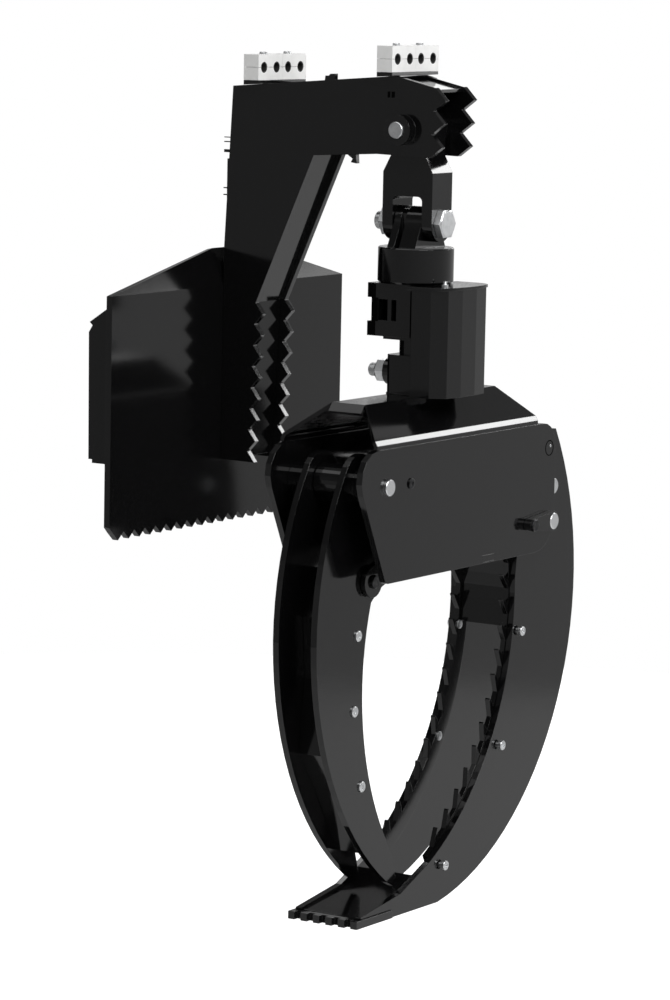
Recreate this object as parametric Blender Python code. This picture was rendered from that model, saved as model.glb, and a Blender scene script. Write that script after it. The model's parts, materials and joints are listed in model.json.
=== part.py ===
"""A log grapple on a quick-attach boom, for a compact loader.

The boom stands on a back plate and carries a swinging link, a rotator and a grapple head.
Two bypassing tines hang in the head. One cylinder turns the right tine, and a pair of tie
bars passes that motion on to the left one.

+X points forward, away from the loader, +Y to the far side and +Z up. The origin lies on the
rear face of the back plate, where the loader's own plate bears against it.
"""

from math import asin, atan2, cos, hypot, pi, radians, sin, tan

import bmesh
import bpy
from mathutils import Matrix, Vector

MM = 0.001

# Clearances between pieces
SEAT = 0.3 * MM
PIN_CLEARANCE = 0.4 * MM
OVERRUN = 2 * MM

# Where the main pieces lie, seen from the boom pin
PIN_REACH = 332 * MM
PIN_RISE = 405 * MM
CROSS_BOLT_DROP = 140 * MM
HEAD_DROP = 459 * MM
TIP_DROP = 721 * MM

# Stock that the weldments are cut from
PLATE = 10 * MM
COVER = 6 * MM
PIN_RADIUS = 12.5 * MM
BORE_RADIUS = PIN_RADIUS + PIN_CLEARANCE

# Back plate and its receiver
BACK_WIDTH = 624 * MM
BACK_OFFSET = -22 * MM
BACK_SHOULDER = 152 * MM
BACK_FOOT = 205 * MM
BACK_CHAMFER = 9 * MM
GABLE_HEIGHT = 58 * MM
GABLE_HALF_TOP = 58 * MM
GABLE_LEAN = radians(12)
BACK_TOOTH_COUNT = 22
BACK_TOOTH_DEPTH = 12 * MM
RECEIVER_NEAR_INSET = 21 * MM
RECEIVER_FAR_INSET = 11.5 * MM
RECEIVER_DEPTH = 48 * MM
RECEIVER_TOP = 140 * MM
RECEIVER_FOOT = 103.5 * MM
CHEEK_TOP_SHARES = ((0.97, 0.78), (0.86, 0.746), (1.0, 0.67))
CHEEK_FOOT_SHARES = ((0.96, 0.947), (0.82, 0.947), (0.82, 1.0))
LIP_RISE = 112 * MM
LIP_DROP = 22 * MM
LATCH_SLOT_LENGTH = 46 * MM
LATCH_SLOT_WIDTH = 22 * MM
LATCH_SPACING = 380 * MM

# Boom
BOOM_WIDTH = 90 * MM
BOOM_LEAN = radians(2.8)
BOOM_TOP_SLOPE = radians(4.8)
BOOM_TOP_AT_PIN = 81 * MM
BOOM_BEND_REACH = -15 * MM
NOSE_REACH = 56 * MM
NOSE_FOOT_REACH = 48 * MM
NOSE_FOOT = 40 * MM
NOSE_TOOTH_COUNT = 3
NOSE_TOOTH_PITCH = 34.8 * MM
NOSE_TOOTH_DEPTH = 20 * MM
ARM_UNDERSIDE = 38 * MM
ARM_CORNER_REACH = -159 * MM
ARM_CORNER_DROP = 45 * MM
COLUMN_DEPTH = 61 * MM
COLUMN_TEETH_TOP = 276 * MM
COLUMN_TOOTH_COUNT = 8
COLUMN_TOOTH_PITCH = 32.9 * MM
COLUMN_TOOTH_DEPTH = 14 * MM
COVER_INSET = 7 * MM
BOOM_PIN_LENGTH = 133 * MM
BOOM_BOSS_RADIUS = 23 * MM
BOOM_BOSS_LENGTH = 17 * MM

# Hose clamps
CLAMP_PLACES = (-263 * MM, -22 * MM)
CLAMP_WIDTH = 65 * MM
CLAMP_LENGTH = 27 * MM
CLAMP_HEIGHT = 39 * MM
CLAMP_SPLIT = 0.5 * MM
CLAMP_BASE = 5 * MM
HOSE_RADIUS = 8.5 * MM
HOSE_SPACING = 34 * MM

# Link
LINK_HALF_LENGTH = 44 * MM
LINK_HALF_WIDTH = 28 * MM
LINK_BOSS_RADIUS = 30 * MM
LINK_CHEEK = 18 * MM
LINK_ARCH_DROP = 100 * MM
LINK_ARCH_FILLET = 8 * MM
LINK_SHOULDER = 38 * MM
BOLT_RADIUS = 13.5 * MM
HEX_HALF = 20.5 * MM
HEX_HEIGHT = 12 * MM
BOLT_TAIL = 12 * MM

# Rotator
HOUSING_RADIUS = 57.5 * MM
HOUSING_TOP = 37 * MM
HOUSING_HEIGHT = 54 * MM
LUG_HALF_LENGTH = 25 * MM
LUG_RADIUS = 25 * MM
LUG_FOOT = 43 * MM
RECESS_START = -13 * MM
RECESS_WIDTH = 9 * MM
RECESS_SPACING = 20 * MM
SHAFT_RADIUS = 22 * MM
SWIVEL_HALF_LENGTH = 53.5 * MM
SWIVEL_HALF_WIDTH = 48 * MM
SWIVEL_HEIGHT = 80 * MM
SWIVEL_WALL = 24 * MM
SWIVEL_SLOTS = ((-35 * MM, -18.5 * MM), (-11.5 * MM, -3 * MM))
SPOOL_NOTCH = 7 * MM
SPOOL_FLANGE = 22 * MM
SOCKET_HALF_WIDTH = 31 * MM
SOCKET_CHAMFER = 7 * MM
SOCKET_HEIGHT = 60 * MM
LOCK_DROP = 28 * MM
LOCK_RADIUS = 10 * MM
LOCK_HEX_HALF = 16 * MM
LOCK_HEX_HEIGHT = 14 * MM
LOCK_REACH = 62 * MM
LOCK_SPACER_RADIUS = 21 * MM
LOCK_SPACER_LENGTH = 12 * MM
GUARD_SHEET = 5 * MM
GUARD_REAR = 38 * MM
GUARD_FRONT = 97 * MM
GUARD_HALF_WIDTH = 70 * MM
GUARD_FLAT = 20 * MM
GUARD_CHAMFER_SHARES = ((0.576, 1.0), (0.932, 0.771))
GUARD_HEIGHT = 164 * MM
GUARD_DROP = 2 * MM

# Grapple head
HEAD_OFFSET = 4 * MM
HEAD_HALF_WIDTH = 85.5 * MM
HEAD_HEIGHT = 201 * MM
HEAD_LEFT = 303 * MM
HEAD_LEFT_FOOT = 205 * MM
HEAD_RIGHT = 280 * MM
HEAD_TOP_LEFT_FILLET = 45 * MM
HEAD_TOP_RIGHT_FILLET = 38 * MM
HEAD_FOOT_FILLET = 10 * MM
HEAD_HEEL_FILLET = 55 * MM
ROOF_RISE = 59 * MM
ROOF_FLAT = 29 * MM
ROOF_BEVEL = 9 * MM
ROOF_LIP = 6 * MM
ROOF_HALF_TOP = 185 * MM
ROOF_LEFT_FOOT = 236 * MM
ROOF_RIGHT_FOOT = 224 * MM
ROOF_END_FLAP = 16 * MM
TIE_PLATE_REACH = 40 * MM
TIE_PLATE_RISE = 2 * MM
TIE_PLATE_WIDTH = 90 * MM
TIE_TAB = 34 * MM

# Pivots of the grapple, from the middle of the head plates' top edge: across, then down
LEFT_PIVOT = (-206 * MM, -57 * MM)
RIGHT_PIVOT = (261 * MM, -154 * MM)
ROD_PIVOT = (316 * MM, -107 * MM)
RIGHT_TIE_PIVOT = (290 * MM, -45 * MM)
LEFT_TIE_PIVOT = (-178 * MM, -204 * MM)
LOCK_BOLT_OFFSET = 64 * MM
LOCK_BOLT_RADIUS = 6 * MM
LOCK_BOLT_HEAD = 9 * MM
LOCK_BOLT_HEAD_HEIGHT = 5 * MM
PIN_FLAG = 12 * MM
PIN_FLAG_RIM = 3 * MM
PIN_FLAG_PROUD = 1 * MM
LOCK_BOLT_TAIL = 4 * MM
PIN_PROUD = 6 * MM

# Tines
LEFT_HALF_WIDTH = 38.5 * MM
RIGHT_HALF_WIDTH = 58.5 * MM
HUB_RADIUS = 25 * MM
LEFT_OUTER_BULGE = 134 * MM
LEFT_INNER_BULGE = 48.4 * MM
LEFT_TOP_RADIUS = 46 * MM
LEFT_TIE_EYE_RADIUS = 30 * MM
RIGHT_OUTER_BULGE = 206.5 * MM
RIGHT_INNER_BULGE = 69.3 * MM
RIGHT_TOP_RADIUS = 30 * MM
RIGHT_WAIST_RADIUS = 43 * MM
STRIP_THICKNESS = 8 * MM
STRIP_WIDTH = 24 * MM
WEB = 8 * MM
TIP_PLATE = 12 * MM
TIP_HALF_WIDTH = 61.5 * MM
TIP_REACH = 228 * MM
TIP_HEEL = 128 * MM
TIP_TOOTH_COUNT = 6
TIP_TOOTH_DEPTH = 9 * MM
SCOOP_REACH = 12 * MM
TOE_KNEE = (-103 * MM, 32 * MM)
TOE_WALL = 3 * MM
SCOOP_RISE = 40 * MM
SCOOP_KNEE_DROP = 5 * MM
TIE_PIN_RADIUS = 10 * MM
TIE_PIN_PROUD = 5 * MM

# Cylinder and tie bars
BARREL_RADIUS = 35 * MM
BARREL_BORE = 28 * MM
BARREL_START = 64 * MM
BARREL_END = 330 * MM
GLAND_RADIUS = 38 * MM
GLAND_LENGTH = 34 * MM
BASE_EYE_RADIUS = 28 * MM
BASE_EYE_HALF_WIDTH = 27 * MM
ROD_RADIUS = 17.5 * MM
PISTON_LENGTH = 40 * MM
ROD_START = 200 * MM
ROD_EYE_RADIUS = 29 * MM
ROD_EYE_HALF_WIDTH = 40 * MM
OPEN_ROD_CLEARANCE = 2.6 * MM
PORT_RADIUS = 11 * MM
PORT_HEIGHT = 12 * MM
TIE_BAR = 7.4 * MM
TIE_BAR_GAP = 1 * MM
TIE_BAR_HALF_HEIGHT = 17 * MM
TIE_EYE_RADIUS = 24 * MM
OPEN_TIE_CLEARANCE = 7.2 * MM
OPEN_EYE_WALL = 9 * MM

PIN_X = PIN_REACH
PIN_Z = PIN_RISE
CROSS_Z = PIN_Z - CROSS_BOLT_DROP
HEAD_Z = PIN_Z - HEAD_DROP
TIP_Z = HEAD_Z - TIP_DROP
HEAD_X = PIN_X + HEAD_OFFSET

# Ends of the tines' arcs, from the middle of the head plates' top edge like the pivots
LEFT_OUTER_FOOT = (-109 * MM, 48 * MM - TIP_DROP)
LEFT_TIP = ((-93 * MM, 40 * MM - TIP_DROP), (-86 * MM, 50.5 * MM - TIP_DROP))
LEFT_INNER_TOP = (-171 * MM, -237 * MM)
LEFT_INNER_FOOT = (-100 * MM, 94 * MM - TIP_DROP)
RIGHT_OUTER_FOOT = (3.5 * MM, -TIP_DROP)
RIGHT_OUTER_TOP = (326 * MM, -17 * MM)
RIGHT_INNER_FOOT = (-22.7 * MM, 66.3 * MM - TIP_DROP)
RIGHT_INNER_TOP = (211.4 * MM, -245.2 * MM)
HEAD_TOP = HEAD_Z
ROOF_Z = HEAD_Z + ROOF_RISE


def clear_scene():
    for item in list(bpy.data.objects):
        bpy.data.objects.remove(item, do_unlink=True)


def material(name, colour, roughness, metallic):
    made = bpy.data.materials.new(name)
    made.use_nodes = True
    shader = made.node_tree.nodes["Principled BSDF"]
    shader.inputs["Base Color"].default_value = (*colour, 1.0)
    shader.inputs["Roughness"].default_value = roughness
    shader.inputs["Metallic"].default_value = metallic
    return made


clear_scene()
BLACK = material("black_paint", (0.012, 0.012, 0.013), 0.25, 0.0)
ZINC = material("zinc_steel", (0.62, 0.62, 0.64), 0.32, 1.0)
CHROME = material("chrome_rod", (0.75, 0.75, 0.77), 0.12, 1.0)
CLAMP_WHITE = material("clamp_white", (0.82, 0.82, 0.82), 0.45, 0.0)

BODY_PIVOTS = {
    "carrier": (0, 0, 0),
    "link": (PIN_X, 0, PIN_Z),
    "stator": (PIN_X, 0, CROSS_Z),
    "head": (PIN_X, 0, CROSS_Z),
    "left_tine": (PIN_X, LEFT_PIVOT[0], HEAD_Z + LEFT_PIVOT[1]),
    "right_tine": (PIN_X, RIGHT_PIVOT[0], HEAD_Z + RIGHT_PIVOT[1]),
    "cylinder": (PIN_X, LEFT_PIVOT[0], HEAD_Z + LEFT_PIVOT[1]),
    "rod": (PIN_X, ROD_PIVOT[0], HEAD_Z + ROD_PIVOT[1]),
    "tie_bars": (PIN_X, LEFT_TIE_PIVOT[0], HEAD_Z + LEFT_TIE_PIVOT[1]),
}


def make_frames():
    """One empty for each moving body, on its joint's axis."""
    frames = {}
    for body, place in BODY_PIVOTS.items():
        empty = bpy.data.objects.new(body + "_frame", None)
        empty.location = place
        bpy.context.collection.objects.link(empty)
        frames[body] = empty
    return frames


FRAMES = make_frames()


# Outlines, as lists of two-number points

def arc(centre, radius, start, stop, steps):
    """Points from angle start to angle stop, both included."""
    angles = [start + (stop - start) * i / steps for i in range(steps + 1)]
    return [(centre[0] + radius * cos(a), centre[1] + radius * sin(a)) for a in angles]


def circle(centre, radius, sides=24):
    return arc(centre, radius, 0, 2 * pi, sides)[:-1]


def bow_circle(start, stop, bulge):
    """Centre, radius, first angle and turn of an arc that bulges to the right of its way."""
    start, stop = Vector(start), Vector(stop)
    chord = stop - start
    radius = (chord.length ** 2 / 4 + bulge ** 2) / (2 * bulge)
    inward = Vector((-chord.y, chord.x)).normalized()
    centre = (start + stop) / 2 + inward * (radius - bulge)
    first, last = start - centre, stop - centre
    begin = atan2(first.y, first.x)
    turn = (atan2(last.y, last.x) - begin + pi) % (2 * pi) - pi
    return centre, radius, begin, turn


def bow(start, stop, bulge, steps):
    centre, radius, begin, turn = bow_circle(start, stop, bulge)
    return arc(centre, radius, begin, begin + turn, steps)


def filleted(corners, steps=5):
    """An outline with each (point, radius) corner rounded."""
    outline = []
    for i, (point, radius) in enumerate(corners):
        here = Vector(point)
        if not radius:
            outline.append(tuple(here))
            continue
        back = (Vector(corners[i - 1][0]) - here).normalized()
        ahead = (Vector(corners[(i + 1) % len(corners)][0]) - here).normalized()
        half = back.angle(ahead) / 2
        centre = here + (back + ahead).normalized() * radius / sin(half)
        first = here + back * radius / tan(half) - centre
        last = here + ahead * radius / tan(half) - centre
        start = atan2(first.y, first.x)
        turn = (atan2(last.y, last.x) - start + pi) % (2 * pi) - pi
        outline += arc(centre, radius, start, start + turn, steps)
    return outline


def saw(start, stop, count, depth):
    """Pointed teeth from start to stop, standing out on the right of the way along."""
    start, stop = Vector(start), Vector(stop)
    along = (stop - start) / count
    out = Vector((along.y, -along.x)).normalized() * depth
    points = [tuple(start)]
    for i in range(count):
        points.append(tuple(start + along * (i + 0.5) + out))
        points.append(tuple(start + along * (i + 1)))
    return points


def offset(path, distance):
    """An open path moved to its left, with mitred corners."""
    points = [Vector(p) for p in path]
    moved = []
    for i, here in enumerate(points):
        ways = []
        if i:
            ways.append((here - points[i - 1]).normalized())
        if i + 1 < len(points):
            ways.append((points[i + 1] - here).normalized())
        normals = [Vector((-way.y, way.x)) for way in ways]
        mean = sum(normals, Vector((0, 0))).normalized()
        moved.append(tuple(here + mean * distance / mean.dot(normals[0])))
    return moved


def band(path, thickness):
    """A strip of sheet seen edge on, with its thickness on the left of the path."""
    return list(path) + offset(path, thickness)[::-1]


# Solids

def add_object(name, mesh, finish, body, smooth=True):
    """Turn a bmesh in world metres into an object on its body's frame."""
    mesh.normal_update()
    bmesh.ops.recalc_face_normals(mesh, faces=mesh.faces[:])
    bmesh.ops.translate(mesh, verts=mesh.verts[:], vec=-Vector(BODY_PIVOTS[body]))
    data = bpy.data.meshes.new(name)
    mesh.to_mesh(data)
    mesh.free()
    if smooth:
        data.shade_smooth()
        data.set_sharp_from_angle(angle=radians(35))
    item = bpy.data.objects.new(name, data)
    item.data.materials.append(finish)
    item.parent = FRAMES[body]
    bpy.context.collection.objects.link(item)
    return item


def stand(mesh, facing, start):
    """Turn a mesh drawn flat at zero height to face along X, Y or Z."""
    for vert in mesh.verts:
        u, v, w = vert.co
        if facing == "X":
            vert.co = (w + start, u, v)
        elif facing == "Y":
            vert.co = (u, w + start, v)
        else:
            vert.co = (u, v, w + start)
    return mesh


def fill_loops(mesh, rings):
    """Fill an outer ring of vertices less the inner ones."""
    edges = []
    for ring in rings:
        for i, vert in enumerate(ring):
            pair = (vert, ring[(i + 1) % len(ring)])
            edges.append(mesh.edges.get(pair) or mesh.edges.new(pair))
    made = bmesh.ops.triangle_fill(mesh, edges=edges, use_beauty=True)
    return [item for item in made["geom"] if isinstance(item, bmesh.types.BMFace)]


def raise_faces(mesh, faces, height):
    made = bmesh.ops.extrude_face_region(mesh, geom=faces)
    lifted = [item for item in made["geom"] if isinstance(item, bmesh.types.BMVert)]
    bmesh.ops.translate(mesh, verts=lifted, vec=(0, 0, height))
    return [item for item in made["geom"] if isinstance(item, bmesh.types.BMFace)]


def sheet_mesh(outline, holes, thickness, bosses=(), boss_side=1):
    """A flat plate with holes, and with raised rings round some of them.

    Each boss is (centre, bore radius, outer radius, height). The plate fills zero to
    thickness, and the bosses rise from its upper face, or its lower one for boss_side -1.
    """
    mesh = bmesh.new()
    outer = [mesh.verts.new((u, v, 0)) for u, v in outline]
    inner = [[mesh.verts.new((u, v, 0)) for u, v in hole] for hole in holes]
    for centre, _, ring_radius, _ in bosses:
        inner.append([mesh.verts.new((u, v, 0)) for u, v in circle(centre, ring_radius)])
    faces = fill_loops(mesh, [outer, *inner])
    tops = []
    for (centre, bore, _, height), ring in zip(bosses, inner[len(holes):]):
        mouth = [mesh.verts.new((u, v, 0)) for u, v in circle(centre, bore)]
        made = fill_loops(mesh, [ring, mouth])
        faces += made
        tops.append(([f.calc_center_median().xy for f in made], height))
    upper = raise_faces(mesh, faces, thickness)
    for centres, height in tops:
        chosen = [f for f in upper if any((f.calc_center_median().xy - c).length < 1e-6 for c in centres)]
        raise_faces(mesh, chosen, height)
        bmesh.ops.delete(mesh, geom=chosen, context="FACES")
    if boss_side < 0:
        for vert in mesh.verts:
            vert.co.z = thickness - vert.co.z
    return mesh


def plate(name, outline, facing, start, thickness, body, holes=(), finish=None, bosses=(), boss_side=1):
    mesh = stand(sheet_mesh(outline, holes, thickness, bosses, boss_side), facing, start)
    return add_object(name, mesh, finish or BLACK, body)


def turned_mesh(profile, sides=32):
    """A body turned about local Z from (radius, height) pairs, or (flat radius, height, "hex").

    A profile that starts and ends on the axis is a solid of revolution. Any other is a ring,
    and its last pair joins its first.
    """
    mesh = bmesh.new()
    rings = []
    for radius, height, *shape in profile:
        if radius == 0:
            rings.append([mesh.verts.new((0, 0, height))])
            continue
        ring = []
        for i in range(sides):
            angle = 2 * pi * i / sides
            reach = radius / cos(angle % (pi / 3) - pi / 6) if shape else radius
            ring.append(mesh.verts.new((reach * cos(angle), reach * sin(angle), height)))
        rings.append(ring)
    pairs = list(zip(rings, rings[1:]))
    if profile[0][0] or profile[-1][0]:
        pairs.append((rings[-1], rings[0]))
    for lower, upper in pairs:
        for i in range(sides):
            j = (i + 1) % sides
            corners = [lower[i % len(lower)], lower[j % len(lower)], upper[j % len(upper)], upper[i % len(upper)]]
            unique = [v for k, v in enumerate(corners) if v not in corners[:k]]
            mesh.faces.new(unique)
    return mesh


def aim(mesh, place, way):
    """Turn a mesh made about local Z to lie along a direction, with its zero at a place."""
    turn = Vector(way).to_track_quat("Z", "Y").to_matrix().to_4x4()
    bmesh.ops.transform(mesh, matrix=Matrix.Translation(place) @ turn, verts=mesh.verts[:])
    return mesh


def turned(name, profile, place, way, finish, body, sides=32):
    return add_object(name, aim(turned_mesh(profile, sides), place, way), finish, body)


def rod_profile(radius, start, stop, edge=0):
    """A plain round bar, with its end edges chamfered."""
    if not edge:
        return [(0, start), (radius, start), (radius, stop), (0, stop)]
    return [(0, start), (radius - edge, start), (radius, start + edge), (radius, stop - edge),
            (radius - edge, stop), (0, stop)]


def combine(item, tool_mesh, operation):
    """Cut, join or trim an object by a helper mesh given in world metres."""
    tool_mesh.normal_update()
    bmesh.ops.recalc_face_normals(tool_mesh, faces=tool_mesh.faces[:])
    data = bpy.data.meshes.new(item.name + "_tool")
    tool_mesh.to_mesh(data)
    tool_mesh.free()
    tool = bpy.data.objects.new(item.name + "_tool", data)
    tool.hide_render = True
    tool.display_type = "WIRE"
    bpy.context.collection.objects.link(tool)
    step = item.modifiers.new(operation.lower(), "BOOLEAN")
    step.operation = operation
    step.object = tool
    return item


def bar_mesh(radius, place, way, start, stop, sides=32):
    return aim(turned_mesh(rod_profile(radius, start, stop), sides), place, way)


# Back plate and receiver

def back_plate():
    left = BACK_OFFSET - BACK_WIDTH / 2
    right = BACK_OFFSET + BACK_WIDTH / 2
    top, foot = BACK_SHOULDER, -BACK_FOOT
    panel = [(left, top), (left, foot + BACK_CHAMFER)]
    panel += saw((left + BACK_CHAMFER, foot), (right - BACK_CHAMFER, foot), BACK_TOOTH_COUNT, BACK_TOOTH_DEPTH)
    panel += [(right, foot + BACK_CHAMFER), (right, top)]
    gable = [(left, top), (right, top), (GABLE_HALF_TOP, top + GABLE_HEIGHT), (-GABLE_HALF_TOP, top + GABLE_HEIGHT)]
    mesh = bmesh.new()
    corner = {}
    for outline in (panel, gable):
        ring = []
        for y, z in outline:
            lean = max(z - top, 0) * tan(GABLE_LEAN)
            if (y, z) not in corner:
                corner[(y, z)] = mesh.verts.new((PLATE - lean, y, z))
            ring.append(corner[(y, z)])
        mesh.faces.new(ring)
    item = add_object("mount_plate", mesh, BLACK, "carrier", smooth=False)
    front = item.data.polygons[0].normal.x > 0
    sheet = item.modifiers.new("sheet", "SOLIDIFY")
    sheet.thickness = PLATE
    sheet.offset = -1 if front else 1
    sheet.use_even_offset = True
    return item


def receiver():
    """The pocket on the back that takes the loader's quick-attach plate."""
    near = BACK_OFFSET - BACK_WIDTH / 2 + RECEIVER_NEAR_INSET
    far = BACK_OFFSET + BACK_WIDTH / 2 - RECEIVER_FAR_INSET
    upper = [(-x * RECEIVER_DEPTH, z * RECEIVER_TOP) for x, z in CHEEK_TOP_SHARES]
    lower = [(-x * RECEIVER_DEPTH, -z * RECEIVER_FOOT) for x, z in CHEEK_FOOT_SHARES]
    cheek = [(-SEAT, RECEIVER_TOP)] + upper + lower + [(-SEAT, -RECEIVER_FOOT)]
    plate("receiver_side_near", cheek, "Y", near, PLATE, "carrier")
    plate("receiver_side_far", cheek, "Y", far - PLATE, PLATE, "carrier")
    span = far - near - 2 * PLATE - 2 * SEAT
    lip = [(-SEAT, LIP_RISE), (-0.8 * RECEIVER_DEPTH, LIP_RISE - LIP_DROP),
           (-0.8 * RECEIVER_DEPTH, LIP_RISE - 2 * LIP_DROP)]
    plate("receiver_top_lip", band(lip, -COVER), "Y", near + PLATE + SEAT, span, "carrier")
    ledge = [(-0.85 * RECEIVER_DEPTH, near + PLATE + SEAT), (-SEAT, near + PLATE + SEAT),
             (-SEAT, far - PLATE - SEAT), (-0.85 * RECEIVER_DEPTH, far - PLATE - SEAT)]
    slots = []
    for side in (-1, 1):
        middle = BACK_OFFSET + side * LATCH_SPACING / 2
        x = -0.45 * RECEIVER_DEPTH
        ends = LATCH_SLOT_LENGTH / 2 - LATCH_SLOT_WIDTH / 2
        slots.append(arc((x, middle + ends), LATCH_SLOT_WIDTH / 2, 0, pi, 8)
                     + arc((x, middle - ends), LATCH_SLOT_WIDTH / 2, pi, 2 * pi, 8))
    plate("receiver_bottom_ledge", ledge, "Z", -RECEIVER_FOOT, PLATE, "carrier", holes=slots)


# Boom

def boom_top(x):
    """Height of the boom's straight top edge at x, both from the pin."""
    return BOOM_TOP_AT_PIN + x * tan(BOOM_TOP_SLOPE)


def boom_rear(z):
    """How far back the boom's leaning rear edge lies above the gable."""
    foot = PLATE + SEAT - PIN_REACH
    gable_top = BACK_SHOULDER + GABLE_HEIGHT - PIN_RISE
    return foot + max(z - gable_top, 0) * tan(BOOM_LEAN)


def column_front(z):
    """The toothed edge's valley line, which leans like the rear edge."""
    foot = PLATE - PIN_REACH + COLUMN_DEPTH
    return foot + (z + COLUMN_TEETH_TOP) * tan(BOOM_LEAN)


def column_foot():
    """The column ends at the tip of its lowest tooth."""
    return -(COLUMN_TEETH_TOP + (COLUMN_TOOTH_COUNT - 0.5) * COLUMN_TOOTH_PITCH)


def boom_outline():
    """The side plate's outline, from the boom pin, drawn against the clock."""
    foot = column_foot()
    root = foot - COLUMN_TOOTH_PITCH / 2
    teeth = saw((column_front(root), root), (column_front(-COLUMN_TEETH_TOP), -COLUMN_TEETH_TOP),
                COLUMN_TOOTH_COUNT, COLUMN_TOOTH_DEPTH)[1:]
    nose_foot = -NOSE_FOOT
    nose = saw((NOSE_FOOT_REACH, nose_foot), (NOSE_REACH, nose_foot + NOSE_TOOTH_COUNT * NOSE_TOOTH_PITCH),
               NOSE_TOOTH_COUNT, NOSE_TOOTH_DEPTH)
    rear_top = boom_rear(boom_top(boom_rear(0)))
    gable_top = BACK_SHOULDER + GABLE_HEIGHT - PIN_RISE
    return ([(boom_rear(foot), foot)] + teeth
            + [(ARM_CORNER_REACH, -ARM_CORNER_DROP), (ARM_CORNER_REACH + 3 * ARM_UNDERSIDE, -ARM_UNDERSIDE)]
            + nose
            + [(BOOM_BEND_REACH, boom_top(BOOM_BEND_REACH)), (rear_top, boom_top(rear_top)),
               (boom_rear(gable_top), gable_top)])


def from_pin(points):
    return [(PIN_X + x, PIN_Z + z) for x, z in points]


def boom():
    outline = from_pin(boom_outline())
    half = BOOM_WIDTH / 2
    boss = [((PIN_X, PIN_Z), BORE_RADIUS, BOOM_BOSS_RADIUS, BOOM_BOSS_LENGTH)]
    plate("boom_side_near", outline, "Y", -half, PLATE, "carrier", bosses=boss, boss_side=-1)
    plate("boom_side_far", outline, "Y", half - PLATE, PLATE, "carrier", bosses=boss)
    inner = half - PLATE - SEAT
    foot = column_foot()
    rear_top = boom_rear(boom_top(boom_rear(0)))
    top = [(BOOM_BEND_REACH, boom_top(BOOM_BEND_REACH) - COVER_INSET),
           (rear_top + COVER_INSET + COVER + SEAT, boom_top(rear_top + COVER_INSET) - COVER_INSET)]
    plate("boom_top_cover", from_pin(band(top, COVER)), "Y", -inner, 2 * inner, "carrier")
    rear = [(rear_top + COVER_INSET, boom_top(rear_top) - COVER_INSET),
            (boom_rear(BACK_SHOULDER - PIN_RISE) + COVER_INSET, BACK_SHOULDER - PIN_RISE)]
    plate("boom_rear_cover", from_pin(band(rear, COVER)), "Y", -inner, 2 * inner, "carrier")
    front = [(-LINK_HALF_LENGTH - OVERRUN, -ARM_UNDERSIDE + COVER_INSET),
             (ARM_CORNER_REACH - COVER_INSET, -ARM_CORNER_DROP + COVER_INSET),
             (column_front(-COLUMN_TEETH_TOP) - COVER_INSET, -COLUMN_TEETH_TOP),
             (column_front(foot) - COVER_INSET, foot + COVER_INSET)]
    plate("boom_front_cover", from_pin(band(front, -COVER)), "Y", -inner, 2 * inner, "carrier")
    turned("boom_pin", rod_profile(PIN_RADIUS, -BOOM_PIN_LENGTH / 2, BOOM_PIN_LENGTH / 2, MM),
           (PIN_X, 0, PIN_Z), (0, 1, 0), ZINC, "carrier")


def clamp_half(name, centre, foot, height, hole_height, x):
    """Half of a twin hose clamp, as a profile with half-round notches."""
    left = centre - CLAMP_WIDTH / 2
    right = centre + CLAMP_WIDTH / 2
    upper = foot + height
    places = [centre - HOSE_SPACING / 2, centre + HOSE_SPACING / 2]
    if hole_height >= upper:
        notch = [arc((y, hole_height), HOSE_RADIUS, asin((upper - hole_height) / HOSE_RADIUS),
                     -pi - asin((upper - hole_height) / HOSE_RADIUS), 10) for y in reversed(places)]
        outline = [(left, foot), (right, foot), (right, upper)] + notch[0] + notch[1] + [(left, upper)]
    else:
        notch = [arc((y, hole_height), HOSE_RADIUS, pi - asin((foot - hole_height) / HOSE_RADIUS),
                     asin((foot - hole_height) / HOSE_RADIUS), 10) for y in places]
        outline = [(left, foot)] + notch[0] + notch[1] + [(right, foot), (right, upper), (left, upper)]
    plate(name, outline, "X", x, CLAMP_LENGTH, "carrier", finish=CLAMP_WHITE)


def hose_clamps():
    half = (CLAMP_HEIGHT - CLAMP_SPLIT) / 2
    for place, centre in zip(("rear", "front"), CLAMP_PLACES):
        start = centre - CLAMP_LENGTH / 2
        stop = centre + CLAMP_LENGTH / 2
        top = boom_top(stop) + CLAMP_BASE
        base = [(start, boom_top(start) + SEAT), (stop, boom_top(stop) + SEAT), (stop, top), (start, top)]
        plate("clamp_base_" + place, from_pin(base), "Y", -CLAMP_WIDTH, 2 * CLAMP_WIDTH, "carrier")
        foot = PIN_Z + top + SEAT
        split = foot + half + CLAMP_SPLIT / 2
        for side, name in ((-1, "near"), (1, "far")):
            y = side * (CLAMP_WIDTH + SEAT) / 2
            clamp_half(f"hose_clamp_lower_{place}_{name}", y, foot, half, split, PIN_X + start)
            clamp_half(f"hose_clamp_upper_{place}_{name}", y, foot + half + CLAMP_SPLIT, half, split,
                       PIN_X + start)


# Link and cross bolt

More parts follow.
